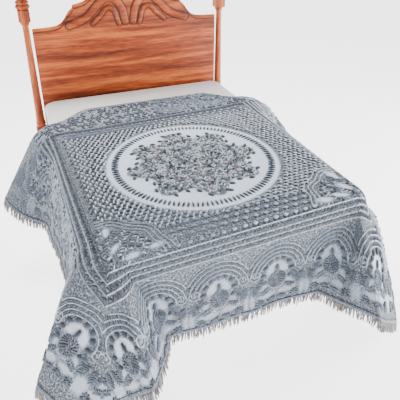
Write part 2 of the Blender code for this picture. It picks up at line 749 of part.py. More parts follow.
spread_grid = spread_surface()
build_bedspread(spread_grid, spread_cloth)
for hem_name in ("left", "foot", "right"):
    add_fringe(hem_name, spread_grid, fringe_yarn)
build_mattress_and_base(sheet_cloth, ticking, stained_wood)
build_headboard(stained_wood)
centre_on_floor()
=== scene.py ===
"""Looks of a tufted chenille bedspread draped over a plain bed with a carved headboard.

Lengths are metres. Bed coordinates have x = 0 at the bed's middle, y = 0 at the mattress's foot
edge and z = 0 on the floor. Cloth coordinates (across, along) name places on the flat spread in
the same two directions, and pattern coordinates (p, q) have their origin at the medallion's
centre and are turned a little, because the spread lies slightly askew.
"""

from __future__ import annotations

import logging
import math
from dataclasses import dataclass, field
from enum import Enum
from typing import Any, Dict, List, Mapping, Optional, Sequence, Tuple, Union

import bpy
import numpy as np
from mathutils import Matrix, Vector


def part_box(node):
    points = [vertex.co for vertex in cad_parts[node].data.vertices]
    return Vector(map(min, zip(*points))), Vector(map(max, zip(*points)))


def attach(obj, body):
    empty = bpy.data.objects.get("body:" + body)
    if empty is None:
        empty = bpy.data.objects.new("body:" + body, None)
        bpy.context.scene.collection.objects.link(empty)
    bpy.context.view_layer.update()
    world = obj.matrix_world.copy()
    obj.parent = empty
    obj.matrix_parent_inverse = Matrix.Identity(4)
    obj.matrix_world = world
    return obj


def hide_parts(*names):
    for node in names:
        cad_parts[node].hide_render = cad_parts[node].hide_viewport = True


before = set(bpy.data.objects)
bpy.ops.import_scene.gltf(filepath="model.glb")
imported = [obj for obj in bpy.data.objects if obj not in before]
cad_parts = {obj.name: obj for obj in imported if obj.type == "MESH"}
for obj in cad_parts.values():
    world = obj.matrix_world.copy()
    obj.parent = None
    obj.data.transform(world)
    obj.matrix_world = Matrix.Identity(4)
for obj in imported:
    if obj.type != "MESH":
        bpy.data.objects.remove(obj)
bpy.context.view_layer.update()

log = logging.getLogger("bedspread")

Array = np.ndarray
Colour = Tuple[float, float, float]


def dye(red: int, green: int, blue: int) -> Colour:
    """A linear colour from the three 0-255 values of a display colour."""
    values = np.array((red, green, blue)) / 255.0
    linear = np.where(values <= 0.04045, values / 12.92, ((values + 0.055) / 1.055) ** 2.4)
    return tuple(float(v) for v in linear)


# Yarn and cloth colours. The pile is the ground's own yarn: PILE_MID, PILE_DARK and RIDGE_LIGHT
# are drawn darker than GROUND, partly as painted shade for the pile's self-shadow and the relief's
# shadows, and PILE_LIGHT is partly painted highlight. Their tones also draw the pattern.
# YARN_ROSE, YARN_SAGE and FRINGE_GREY are real yarn colours.
GROUND = dye(208, 219, 234)
PILE_MID = dye(118, 128, 143)
PILE_DARK = dye(60, 68, 80)
PILE_LIGHT = dye(220, 228, 236)
RIDGE_LIGHT = dye(190, 200, 212)
YARN_ROSE = dye(150, 134, 144)
YARN_SAGE = dye(128, 146, 140)
FRINGE_GREY = dye(126, 120, 122)
# Painted shade, laid beside the right foot corner's crease; not a yarn colour.
PAINTED_CREASE_SHADE = dye(84, 92, 104)


def mixed_dye(first: Colour, second: Colour, share: float) -> Colour:
    """A colour between two; share is the second one's part."""
    return tuple((1.0 - share) * a + share * b for a, b in zip(first, second))


def unit(vectors: Array) -> Array:
    """The vectors at length 1."""
    return vectors / np.maximum(np.linalg.norm(vectors, axis=-1, keepdims=True), 1e-9)


def smooth_step(value: Array) -> Array:
    """0 below 0, 1 above 1, and the ramp t * t * (3 - 2 t) between."""
    t = np.clip(value, 0.0, 1.0)
    return t * t * (3.0 - 2.0 * t)


# Shader writing


class Wire:
    """A shader socket that can be used in arithmetic; each operation adds its Math node."""

    def __init__(self, paint: "Paint", socket: bpy.types.NodeSocket) -> None:
        """Wrap a socket of the paint's node tree."""
        self.paint = paint
        self.socket = socket

    def maths(self, operation: str, *values: "Scalar") -> "Wire":
        """A Math node's result.

        Args:
            operation: the Math node's operation.
            values: its inputs in order.

        Returns:
            The node's output.
        """
        made = self.paint.node("ShaderNodeMath", {"operation": operation}, dict(enumerate(values)))
        return Wire(self.paint, made.outputs[0])

    def __add__(self, other: "Scalar") -> "Wire":
        """Sum."""
        return self.maths("ADD", self, other)

    __radd__ = __add__

    def __mul__(self, other: "Scalar") -> "Wire":
        """Product."""
        return self.maths("MULTIPLY", self, other)

    __rmul__ = __mul__

    def __sub__(self, other: "Scalar") -> "Wire":
        """Difference."""
        return self.maths("SUBTRACT", self, other)

    def __rsub__(self, other: "Scalar") -> "Wire":
        """Difference from a number."""
        return self.maths("SUBTRACT", other, self)

    def __pow__(self, other: "Scalar") -> "Wire":
        """Power."""
        return self.maths("POWER", self, other)

    def sine(self) -> "Wire":
        """Sine."""
        return self.maths("SINE", self)

    def clamped(self) -> "Wire":
        """The value held between 0 and 1."""
        return self.maths("MINIMUM", self.maths("MAXIMUM", self, 0.0), 1.0)


Scalar = Union[Wire, float]


class Paint:
    """A material under construction around one Principled shader."""

    def __init__(self, name: str, **constants: Any) -> None:
        """Start a material.

        Args:
            name: the material's name.
            constants: values set on the shader's own sockets, with _ for a space.
        """
        self.material = bpy.data.materials.new(name)
        self.material.use_nodes = True
        self.tree = self.material.node_tree
        self.shader = self.tree.nodes["Principled BSDF"]
        for key, value in constants.items():
            self.shader.inputs[key.replace("_", " ")].default_value = value

    def node(self, kind: str, settings: Mapping[str, Any], values: Mapping[Any, Any]) -> bpy.types.Node:
        """Any node.

        Args:
            kind: the node's type name.
            settings: properties set first; "stops" sets a ramp's (place, colour) pairs.
            values: a number, colour or Wire for each input socket's name or number.

        Returns:
            The node.
        """
        made = self.tree.nodes.new(kind)
        for key, value in settings.items():
            if key == "stops":
                self.set_stops(made, value)
            else:
                setattr(made, key, value)
        for key, value in values.items():
            if isinstance(value, Wire):
                self.tree.links.new(value.socket, made.inputs[key])
            else:
                made.inputs[key].default_value = value
        return made

    @staticmethod
    def set_stops(ramp: bpy.types.Node, stops: Sequence[Tuple[float, Colour]]) -> None:
        """Give a colour ramp its stops."""
        elements = ramp.color_ramp.elements
        while len(elements) < len(stops):
            elements.new(1.0)
        for element, (place, colour) in zip(elements, stops):
            element.position = place
            element.color = (*colour, 1.0)

    def attribute(self, name: str, output: str = "Fac") -> Wire:
        """A mesh attribute's output."""
        return Wire(self, self.node("ShaderNodeAttribute", {"attribute_name": name}, {}).outputs[output])

    def object_place(self) -> Wire:
        """Object coordinates."""
        return Wire(self, self.node("ShaderNodeTexCoord", {}, {}).outputs["Object"])

    def cloth_place(self) -> Wire:
        """The piece's own UV map, in metres of flat cloth."""
        return Wire(self, self.node("ShaderNodeUVMap", {"uv_map": "cloth"}, {}).outputs["UV"])

    def stretched(self, place: Wire, scale: Sequence[float]) -> Wire:
        """A place scaled along its three axes."""
        made = self.node("ShaderNodeMapping", {}, {"Vector": place, "Scale": tuple(scale)})
        return Wire(self, made.outputs["Vector"])

    def noise(self, place: Wire, scale: float, detail: float = 2.0, roughness: float = 0.5) -> Wire:
        """Noise about 0.5 at a place; scale is the number of features in a metre."""
        values = {"Vector": place, "Scale": scale, "Detail": detail, "Roughness": roughness}
        return Wire(self, self.node("ShaderNodeTexNoise", {}, values).outputs["Fac"])

    def cells(self, place: Wire, scale: float) -> Wire:
        """Distance from the nearest of a crowd of scattered points, in cell widths."""
        values = {"Vector": place, "Scale": scale}
        return Wire(self, self.node("ShaderNodeTexVoronoi", {}, values).outputs["Distance"])

    def ramp(self, value: Wire, stops: Sequence[Tuple[float, Colour]]) -> Wire:
        """A colour read from a ramp."""
        return Wire(self, self.node("ShaderNodeValToRGB", {"stops": stops}, {"Fac": value}).outputs["Color"])

    def mixed(self, share: Scalar, first: Any, second: Any, blend: str = "MIX") -> Wire:
        """Two colours mixed; share is the second one's part."""
        pair = [(*c, 1.0) if isinstance(c, tuple) else c for c in (first, second)]
        settings = {"data_type": "RGBA", "blend_type": blend}
        made = self.node("ShaderNodeMix", settings, {0: share, 6: pair[0], 7: pair[1]})
        return Wire(self, made.outputs[2])

    def finish(self, colour: Wire, height: Wire, depth: float, roughness: Optional[Wire] = None) -> bpy.types.Material:
        """Connect the shader.

        Args:
            colour: the base colour.
            height: the relief, 0 to 1.
            depth: the relief's real depth in metres.
            roughness: the roughness where it varies.

        Returns:
            The material.
        """
        self.tree.links.new(colour.socket, self.shader.inputs["Base Color"])
        bump = self.node("ShaderNodeBump", {}, {"Strength": 1.0, "Distance": depth, "Height": height})
        self.tree.links.new(bump.outputs["Normal"], self.shader.inputs["Normal"])
        if roughness is not None:
            self.tree.links.new(roughness.socket, self.shader.inputs["Roughness"])
        return self.material


@dataclass(frozen=True)
class WovenGround:
    """The spread's cloth: a fine plain weave where it is bare, mottled yarn where it is tufted."""

    mottle: float = 105.0
    thread: float = 420.0
    relief: float = 0.006

    def build(self) -> bpy.types.Material:
        """The material; its pile attribute is 0 on bare cloth and 1 in tufting."""
        paint = Paint("woven_ground", Roughness=0.94, Sheen_Weight=0.25, Sheen_Roughness=0.5)
        place = paint.cloth_place()
        pile = paint.attribute("pile")
        coarse = paint.noise(place, self.mottle, 3.0, 0.7)
        grain = paint.noise(place, self.mottle * 2.6, 2.0, 0.6)
        mix = ((coarse - 0.5) * 3.8 + (grain - 0.5) * 2.0 + 0.37).clamped()
        # The pile's dark, middling and light tones; their darkness is partly painted shade for the pile's self-shadow.
        tufted = paint.ramp(mix, [(0.05, PILE_DARK), (0.5, PILE_MID), (0.95, PILE_LIGHT)])
        threads = paint.noise(paint.stretched(place, (1.0, 0.35, 1.0)), self.thread, 2.0)
        ground = paint.mixed((threads * 0.4 - 0.12).clamped(), GROUND, PILE_MID)
        colour = paint.mixed(pile, ground, tufted)
        # Painted shade: the cloth is darkened beside the right foot corner's crease.
        colour = paint.mixed(paint.attribute("crease_shade"), colour, PAINTED_CREASE_SHADE)
        height = mix * pile + threads * 0.16
        return paint.finish(colour, height, self.relief)


@dataclass(frozen=True)
class ChenilleYarn:
    """Short cut pile in the colour of its dye attribute, which on the tufts also holds painted shade."""

    fuzz: float = 520.0
    relief: float = 0.0012

    def build(self, name: str = "chenille_yarn") -> bpy.types.Material:
        """The material."""
        paint = Paint(name, Roughness=0.97, Sheen_Weight=0.35, Sheen_Roughness=0.45)
        place = paint.object_place()
        fuzz = paint.noise(place, self.fuzz, 3.0, 0.7)
        shade = ((fuzz - 0.5) * 1.3 + 0.95).clamped()
        grey = paint.node("ShaderNodeCombineColor", {}, {0: shade, 1: shade, 2: shade})
        colour = paint.mixed(1.0, paint.attribute("dye", "Color"), Wire(paint, grey.outputs[0]), "MULTIPLY")
        return paint.finish(colour, fuzz, self.relief)


@dataclass(frozen=True)
class Percale:
    """Smooth off-white cotton sheeting with soft creases."""

    light: Colour = dye(236, 235, 230)
    shadow: Colour = dye(214, 213, 208)

    def build(self, name: str = "percale_sheet") -> bpy.types.Material:
        """The material."""
        paint = Paint(name, Roughness=0.85, Sheen_Weight=0.1)
        place = paint.object_place()
        crease_shade = paint.noise(paint.stretched(place, (1.0, 2.4, 1.6)), 5.0, 3.0, 0.55)
        threads = paint.noise(place, 900.0, 1.0)
        colour = paint.mixed(crease_shade, self.light, self.shadow)
        return paint.finish(colour, crease_shade + threads * 0.03, 0.012)


@dataclass(frozen=True)
class Ticking:
    """The box spring's plain cloth with narrow woven stripes."""

    cloth: Colour = dye(214, 212, 204)
    stripe: Colour = dye(176, 178, 180)

    def build(self) -> bpy.types.Material:
        """The material."""
        paint = Paint("ticking", Roughness=0.9)
        place = paint.object_place()
        split = paint.node("ShaderNodeSeparateXYZ", {}, {0: place})
        run = Wire(paint, split.outputs[0]) + Wire(paint, split.outputs[1])
        wave = ((run * 210.0).sine() * 4.0 - 2.6).clamped()
        threads = paint.noise(place, 700.0, 2.0)
        colour = paint.mixed(wave, self.cloth, self.stripe)
        return paint.finish(colour, threads, 0.0008)


class Grain(Enum):
    """The direction in which a board's grain runs."""

    UPRIGHT = (26.0, 26.0, 1.6)
    ACROSS = (1.6, 26.0, 26.0)
    LENGTHWISE = (26.0, 1.6, 26.0)


@dataclass(frozen=True)
class StainedWood:
    """Orange-brown stained wood with long grain, dark in its carved grooves."""

    grain: Grain
    pale: Colour = dye(190, 98, 42)
    warm: Colour = dye(142, 58, 20)
    deep: Colour = dye(84, 30, 10)
    groove: Colour = dye(34, 12, 6)

    def build(self) -> bpy.types.Material:
        """The material; its groove attribute is 1 at the bottom of a carved groove."""
        paint = Paint(f"stained_wood_{self.grain.name.lower()}", Coat_Weight=0.08, Coat_Roughness=0.3, Specular_IOR_Level=0.25)
        place = paint.stretched(paint.object_place(), self.grain.value)
        flow = paint.noise(place, 1.0, 4.0, 0.6)
        fibre = paint.noise(place, 9.0, 3.0, 0.6)
        mix = ((flow - 0.5) * 1.9 + (fibre - 0.5) * 0.9 + 0.5).clamped()
        wood = paint.ramp(mix, [(0.15, self.deep), (0.5, self.warm), (0.85, self.pale)])
        colour = paint.mixed(paint.attribute("groove"), wood, self.groove)
        return paint.finish(colour, fibre, 0.0004, fibre * 0.2 + 0.42)


# Mesh making


def bed_origin() -> Array:
    """Where bed coordinates' origin lies in the row frame."""
    low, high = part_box("mattress")
    return np.array(((low.x + high.x) / 2.0, low.y, 0.0))


BED_ORIGIN = bed_origin()


def new_piece(name: str, points: Array, faces: Sequence[Sequence[int]], finish: bpy.types.Material,
              smooth: bool = True) -> bpy.types.Object:
    """A mesh object from points in bed coordinates.

    Args:
        name: the piece's name.
        points: its vertices, n by 3.
        faces: vertex numbers of each face, wound to face outwards.
        finish: its material.
        smooth: whether the faces are shaded smooth.

    Returns:
        The object, at the origin of the row frame and riding on the root body.
    """
    mesh = bpy.data.meshes.new(name)
    mesh.from_pydata((points + BED_ORIGIN).tolist(), [], [list(map(int, f)) for f in faces])
    mesh.update()
    mesh.polygons.foreach_set("use_smooth", np.full(len(mesh.polygons), smooth))
    mesh.materials.append(finish)
    piece = bpy.data.objects.new(name, mesh)
    bpy.context.scene.collection.objects.link(piece)
    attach(piece, "root")
    log.info("%s: %d faces", name, len(mesh.polygons))
    return piece


def grid_faces(rows: int, columns: int, closed_columns: bool = False) -> Array:
    """Quads of a grid of points, counted row by row, turned to face up where rows run along +Y.

    Args:
        rows: the number of rows of points.
        columns: the number of points in a row.
        closed_columns: whether each row's last point joins its first.

    Returns:
        Vertex numbers, n by 4.
    """
    index = np.arange(rows * columns).reshape(rows, columns)
    right = np.roll(index, -1, axis=1) if closed_columns else index[:, 1:]
    left = index if closed_columns else index[:, :-1]
    quads = np.stack([left[:-1], right[:-1], right[1:], left[1:]], -1)
    return quads.reshape(-1, 4)


def set_floats(piece: bpy.types.Object, name: str, values: Array) -> None:
    """Store one number for each vertex."""
    layer = piece.data.attributes.new(name, "FLOAT", "POINT")
    layer.data.foreach_set("value", np.ascontiguousarray(values, np.float32).ravel())


def set_colours(piece: bpy.types.Object, name: str, colours: Array) -> None:
    """Store one linear colour for each vertex."""
    layer = piece.data.color_attributes.new(name, "FLOAT_COLOR", "POINT")
    full = np.concatenate([colours, np.ones((len(colours), 1))], 1)
    layer.data.foreach_set("color", np.ascontiguousarray(full, np.float32).ravel())


def set_cloth_map(piece: bpy.types.Object, places: Array) -> None:
    """Store each vertex's place on the flat cloth as the UV map named cloth."""
    mesh = piece.data
    corners = np.zeros(len(mesh.loops), np.int32)
    mesh.loops.foreach_get("vertex_index", corners)
    layer = mesh.uv_layers.new(name="cloth")
    layer.data.foreach_set("uv", np.ascontiguousarray(places[corners], np.float32).ravel())


# The drape

SideRow = Tuple[float, float, float, float, float]

LEFT_SIDE: Tuple[SideRow, ...] = (
    (0.00, 10.0, 0.0, 1.00, 0.071),
    (0.20, 10.5, 0.0, 1.00, 0.071),
    (0.34, 9.6, 0.0, 1.00, 0.071),
    (0.46, 8.0, 0.0, 1.00, 0.071),
    (0.63, 8.6, 0.0, 1.00, 0.071),
    (0.76, 9.4, 0.0, 1.00, 0.071),
    (0.89, 12.4, 0.0, 1.00, 0.071),
    (1.00, 13.0, 0.0, 1.00, 0.071),
    (1.07, 13.5, 3.0, 1.00, 0.08),
    (1.16, 19.0, 11.0, 1.03, 0.10),
    (1.27, 27.0, 20.0, 1.07, 0.15),
    (1.38, 32.0, 27.0, 1.11, 0.19),
    (1.61, 34.0, 30.0, 1.13, 0.21),
)
RIGHT_SIDE: Tuple[SideRow, ...] = (
    (0.00, 10.0, 0.0, 1.00, 0.071),
    (0.22, 7.5, 0.0, 1.00, 0.071),
    (0.42, 9.5, 0.0, 1.00, 0.071),
    (0.58, 7.0, 0.0, 1.00, 0.071),
    (0.78, 10.0, 0.0, 1.00, 0.071),
    (0.93, 8.0, 0.0, 1.00, 0.071),
    (1.06, 12.0, 0.0, 1.00, 0.08),
    (1.18, 20.0, 8.0, 1.02, 0.14),
    (1.32, 34.0, 15.0, 1.05, 0.27),
    (1.61, 40.0, 18.0, 1.08, 0.31),
)
FOOT_END: Tuple[Tuple[float, float], ...] = (
    (-0.69, 3.0),
    (-0.48, 3.7),
    (-0.40, 1.4),
    (-0.31, 2.2),
    (-0.19, 4.0),
    (-0.05, 2.0),
    (0.06, 3.8),
    (0.16, 1.2),
    (0.27, 1.8),
    (0.38, 3.4),
    (0.69, 3.0),
)


@dataclass(frozen=True)
class CornerFold:
    """A foot corner's cone of spare cloth.

    side is -1 on the left and 1 on the right. Valleys are polar angles of the cloth about the
    mattress corner, 0 facing the foot and 90 the side. Each fold between them is its cloth angle,
    the bearing it runs in and its tilt out of the vertical, all in degrees. begins is the distance
    from the corner where the cone starts and where it is full.
    """

    side: int
    valleys: Tuple[float, float]
    folds: Tuple[Tuple[float, float, float], ...]
    begins: Tuple[float, float]
    softness: int = 10
    blend: float = 5.0

    def bearing(self, bearing: float, tilt: float) -> Array:
        """The direction with that bearing and tilt."""
        b, t = math.radians(bearing), math.radians(tilt)
        return np.array((self.side * math.sin(b) * math.sin(t), -math.cos(b) * math.sin(t), -math.cos(t)))

    def panel(self, angle: float) -> Array:
        """The ray of a cloth angle that lies in the hanging foot or in the hanging side."""
        if angle < 45.0:
            a, t = math.radians(angle), math.radians(FOOT_END[0][1])
            ray = (self.side * math.sin(a), -math.sin(t) * math.cos(a), -math.cos(t) * math.cos(a))
        else:
            a, t = math.radians(angle - 90.0), math.radians(LEFT_SIDE[0][1])
            ray = (self.side * math.sin(t) * math.cos(a), math.sin(a), -math.cos(t) * math.cos(a))
        return unit(np.array(ray))

    def rays(self) -> Tuple[Array, Array]:
        """The cone's ray at each half degree: great circles between the folds, softened.

        Returns:
            The cloth angles, and a unit vector for each.
        """
        knots = [(-60.0, self.panel(-60.0)), (self.valleys[0], self.panel(self.valleys[0]))]
        knots += [(angle, self.bearing(bearing, tilt)) for angle, bearing, tilt in self.folds]
        knots += [(self.valleys[1], self.panel(self.valleys[1])), (150.0, self.panel(150.0))]
        angles = np.arange(-60.0, 150.5, 0.5)
        directions = np.zeros((len(angles), 3))
        for (start, first), (end, second) in zip(knots, knots[1:]):
            inside = (angles >= start) & (angles <= end)
            share = ((angles[inside] - start) / (end - start))[:, None]
            turn = math.acos(float(np.clip(first @ second, -1.0, 1.0)))
            arc = np.sin((1.0 - share) * turn) * first + np.sin(share * turn) * second
            directions[inside] = arc / math.sin(turn)
        window = np.hanning(2 * self.softness + 3)[1:-1]
        window /= window.sum()
        padded = np.pad(directions, ((self.softness, self.softness), (0, 0)), mode="edge")
        soft = [np.convolve(padded[:, k], window, mode="valid") for k in range(3)]
        return angles, unit(np.stack(soft, -1))


LEFT_CORNER = CornerFold(
    -1, (-21.0, 113.0), ((5.0, -10.0, 35.0), (36.0, 8.0, 17.0), (68.5, 52.0, 33.0)), (0.05, 0.24)
)
RIGHT_CORNER = CornerFold(1, (-18.0, 90.5), ((17.5, -13.5, 38.5), (72.5, 101.0, 27.5)), (0.09, 0.36))


@dataclass
class Drape:
    """The spread's shape on the bed, worked out once on a fine grid of the flat cloth."""

    width: float = 1.372
    corner: float = 0.09
    lift: float = 0.0065
    side_gap: float = 0.009
    roll: float = 0.045
    drop: float = 0.484
    thick: float = 0.003
    head_fold: float = 1.611
    head_fold_side: float = 1.44
    fold_bend: Tuple[float, float] = (0.40, 0.66)
    turned_under: float = 0.20
    layer_step: float = 0.0065
    tip_drop: float = 0.43
    # Where the painted crease shade runs on the flat cloth, and how fast it fades.
    crease_top: Tuple[float, float] = (0.635, -0.005)
    crease_foot: Tuple[float, float] = (0.548, -0.484)
    crease_fade: float = 0.045
    pitch: float = 0.004
    top: float = field(init=False)

    def __post_init__(self) -> None:
        """Work out the grid."""
        self.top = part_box("mattress")[1].z
        self.half = self.width / 2.0 + self.drop
        self.xs = np.linspace(-self.half, self.half, round(2.0 * self.half / self.pitch) + 1)
        last = self.head_fold + 0.02
        self.ys = np.linspace(-self.drop, last, round((last + self.drop) / self.pitch) + 1)
        across, along = np.meshgrid(self.xs, self.ys)
        self.surface = self.place(across, along)
        run_x = np.gradient(self.surface, axis=1)
        run_y = np.gradient(self.surface, axis=0)
        self.normals = unit(np.cross(run_x, run_y))

    @staticmethod
    def softened(rows: Sequence[Sequence[float]], column: int, at: Array) -> Array:
        """A table's column at each place, its corners averaged over ten centimetres."""
        table = np.array(rows)
        dense = np.linspace(-2.0, 2.0, 2001)
        shifts = np.linspace(-0.05, 0.05, 9)
        soft = np.mean([np.interp(dense + s, table[:, 0], table[:, column]) for s in shifts], axis=0)
        return np.interp(at, dense, soft)

    def side_value(self, column: int, across: Array, along: Array) -> Array:
        """A column of the left or the right side's table."""
        left = self.softened(LEFT_SIDE, column, along)
        return np.where(across < 0.0, left, self.softened(RIGHT_SIDE, column, along))

    def ruling(self, across: Array, along: Array, out: Array) -> Array:
        """The direction in which the cloth hangs: tilted outwards, leaning to the foot."""
        sideways = out[..., 0] ** 2
        side_tilt = np.radians(self.side_value(1, across, along))
        foot_tilt = np.radians(self.softened(FOOT_END, 1, across))
        tilt = sideways * side_tilt + (1.0 - sideways) * foot_tilt
        lean = sideways * np.radians(self.side_value(2, across, along))
        down = np.stack([np.zeros_like(lean), -np.sin(lean), -np.cos(lean)], -1)
        return unit(np.sin(tilt)[..., None] * out + np.cos(tilt)[..., None] * down)

    @staticmethod
    def rolled(start: Array, out: Array, ruling: Array, distance: Array, arc: Array) -> Array:
        """From start the cloth turns on an arc from level to its ruling, then runs straight."""
        arc = arc[..., None]
        cosine = np.clip((out * ruling).sum(-1, keepdims=True), -0.99, 0.99)
        turn = np.arccos(cosine)
        side = unit(ruling - cosine * out)
        radius = arc / turn
        distance = distance[..., None]
        angle = np.clip(distance / radius, 0.0, turn)
        bent = radius * (np.sin(angle) * out + (1.0 - np.cos(angle)) * side)
        return start + bent + np.maximum(0.0, distance - arc) * ruling

    def place(self, across: Array, along: Array) -> Array:
        """Where places of the flat cloth lie.

        The nearest point of the mattress's core and the way out from it are found. The cloth is
        level up to the roll, then rolls over and hangs. Near a foot corner it is blended into the
        cone: the tip plus the cloth's own distance along the ray of its angle.

        Args:
            across: distances across from the middle.
            along: distances from the foot edge to the head.

        Returns:
            Points in bed coordinates.
        """
        core_x = self.width / 2.0 - self.corner
        flat = np.stack([across, along, np.zeros_like(along)], -1)
        core = flat.copy()
        core[..., 0] = np.clip(across, -core_x, core_x)
        core[..., 1] = np.maximum(along, self.corner)
        offset = flat - core
        reach = np.linalg.norm(offset, axis=-1)
        outside = reach[..., None] > 1e-6
        out = np.where(outside, offset / np.maximum(reach, 1e-6)[..., None], [0.0, -1.0, 0.0])
        level = self.corner + self.side_gap - self.roll
        sideways = out[..., 0] ** 2
        distance = np.maximum(0.0, reach - level)
        distance = distance * (1.0 + (self.side_value(3, across, along) - 1.0) * sideways)
        plain = self.roll * math.pi / 2.0
        arc = plain + (self.side_value(4, across, along) - plain) * sideways
        start = core + np.minimum(reach, level)[..., None] * out
        start[..., 2] = self.top + self.lift
        place = self.rolled(start, out, self.ruling(across, along, out), distance, arc)
        for fold in (LEFT_CORNER, RIGHT_CORNER):
            place = self.folded_corner(place, fold, across, along)
        return place

    def folded_corner(self, place: Array, fold: CornerFold, across: Array, along: Array) -> Array:
        """Blend a foot corner's cone into the hanging cloth."""
        sideways = fold.side * across - (self.width / 2.0 - self.corner)
        footward = self.corner - along
        angle = np.degrees(np.arctan2(sideways, footward))
        span = np.hypot(sideways, footward)
        angles, directions = fold.rays()
        ray = np.stack([np.interp(angle, angles, directions[:, k]) for k in range(3)], -1)
        first, last = fold.folds[0][0], fold.folds[-1][0]
        turned = smooth_step((angle - first) / (last - first)) * math.pi / 2.0
        rim = self.corner + self.side_gap
        tip = np.stack([
            fold.side * (self.width / 2.0 - self.corner + rim * np.sin(turned)),
            self.corner - rim * np.cos(turned),
            np.full_like(turned, self.top + self.lift + rim - self.tip_drop * self.roll),
        ], -1)
        cone = tip + span[..., None] * unit(ray)
        share = smooth_step((angle - fold.valleys[0] + fold.blend) / (2.0 * fold.blend))
        share = share * smooth_step((fold.valleys[1] - angle + fold.blend) / (2.0 * fold.blend))
        share = share * smooth_step((span - fold.begins[0]) / (fold.begins[1] - fold.begins[0]))
        share = np.where((sideways > -0.35) & (footward > -0.60), share, 0.0)[..., None]
        return (1.0 - share) * place + share * cone

    def fold_line(self, across: Array) -> Array:
        """How far from the foot edge the cloth folds under, at each distance across."""
        start, end = self.fold_bend
        share = smooth_step((np.abs(across) - start) / (end - start))
        return self.head_fold - (self.head_fold - self.head_fold_side) * share

    def rise(self, across: Array, along: Array) -> Array:
        """How far the upper layer is lifted by the turned-under end below it."""
        start = self.fold_line(across) - self.turned_under - 0.10
        return self.layer_step * smooth_step((along - start) / 0.08)

    def on(self, across: Array, along: Array, height: Array) -> Array:
        """Points at a height above the cloth's middle, read between the fine grid's points."""
        column = np.clip((across - self.xs[0]) / (self.xs[1] - self.xs[0]), 0.0, len(self.xs) - 1.001)
        row = np.clip((along - self.ys[0]) / (self.ys[1] - self.ys[0]), 0.0, len(self.ys) - 1.001)
        i, j = column.astype(int), row.astype(int)
        s, t = (column - i)[..., None], (row - j)[..., None]

        def read(values: Array) -> Array:
            """Values between the four neighbours."""
            low = values[j, i] * (1.0 - s) + values[j, i + 1] * s
            return low * (1.0 - t) + (values[j + 1, i] * (1.0 - s) + values[j + 1, i + 1] * s) * t

        return read(self.surface) + np.asarray(height)[..., None] * unit(read(self.normals))

    def pile_place(self, across: Array, along: Array, height: Array) -> Array:
        """Points at a height above the upper layer's face, where tufting stands."""
        return self.on(across, along, self.thick / 2.0 + self.rise(across, along) + height)

    def crease_shade(self, across: Array, along: Array) -> Array:
        """How deep places lie in the painted shade beside the right corner's crease, 0 to 1.

        The crease runs straight from crease_top to crease_foot. Its painted shade starts within a
        centimetre on the foot's side and fades as exp(-distance / crease_fade) on the other.
        """
        (top, high), (foot, low) = self.crease_top, self.crease_foot
        inward = across - top - (along - high) * (foot - top) / (low - high)
        depth = smooth_step((inward + 0.008) / 0.010) * np.exp(-np.maximum(inward, 0.0) / self.crease_fade)
        return depth * smooth_step((high - along) / 0.10)

    def covers(self, across: Array, along: Array, margin: float = 0.008) -> Array:
        """Whether places lie on the upper layer, at least a margin inside its edges."""
        inside = (np.abs(across) < self.half - margin) & (along > margin - self.drop)
        return inside & (along < self.fold_line(across) - margin)

    def flat_area(self) -> float:
        """The flat cloth's area, turned-under end included."""
        lengths = self.fold_line(self.xs) + self.drop + self.turned_under
        return float(((lengths[1:] + lengths[:-1]) / 2.0 * np.diff(self.xs)).sum())


# The pattern


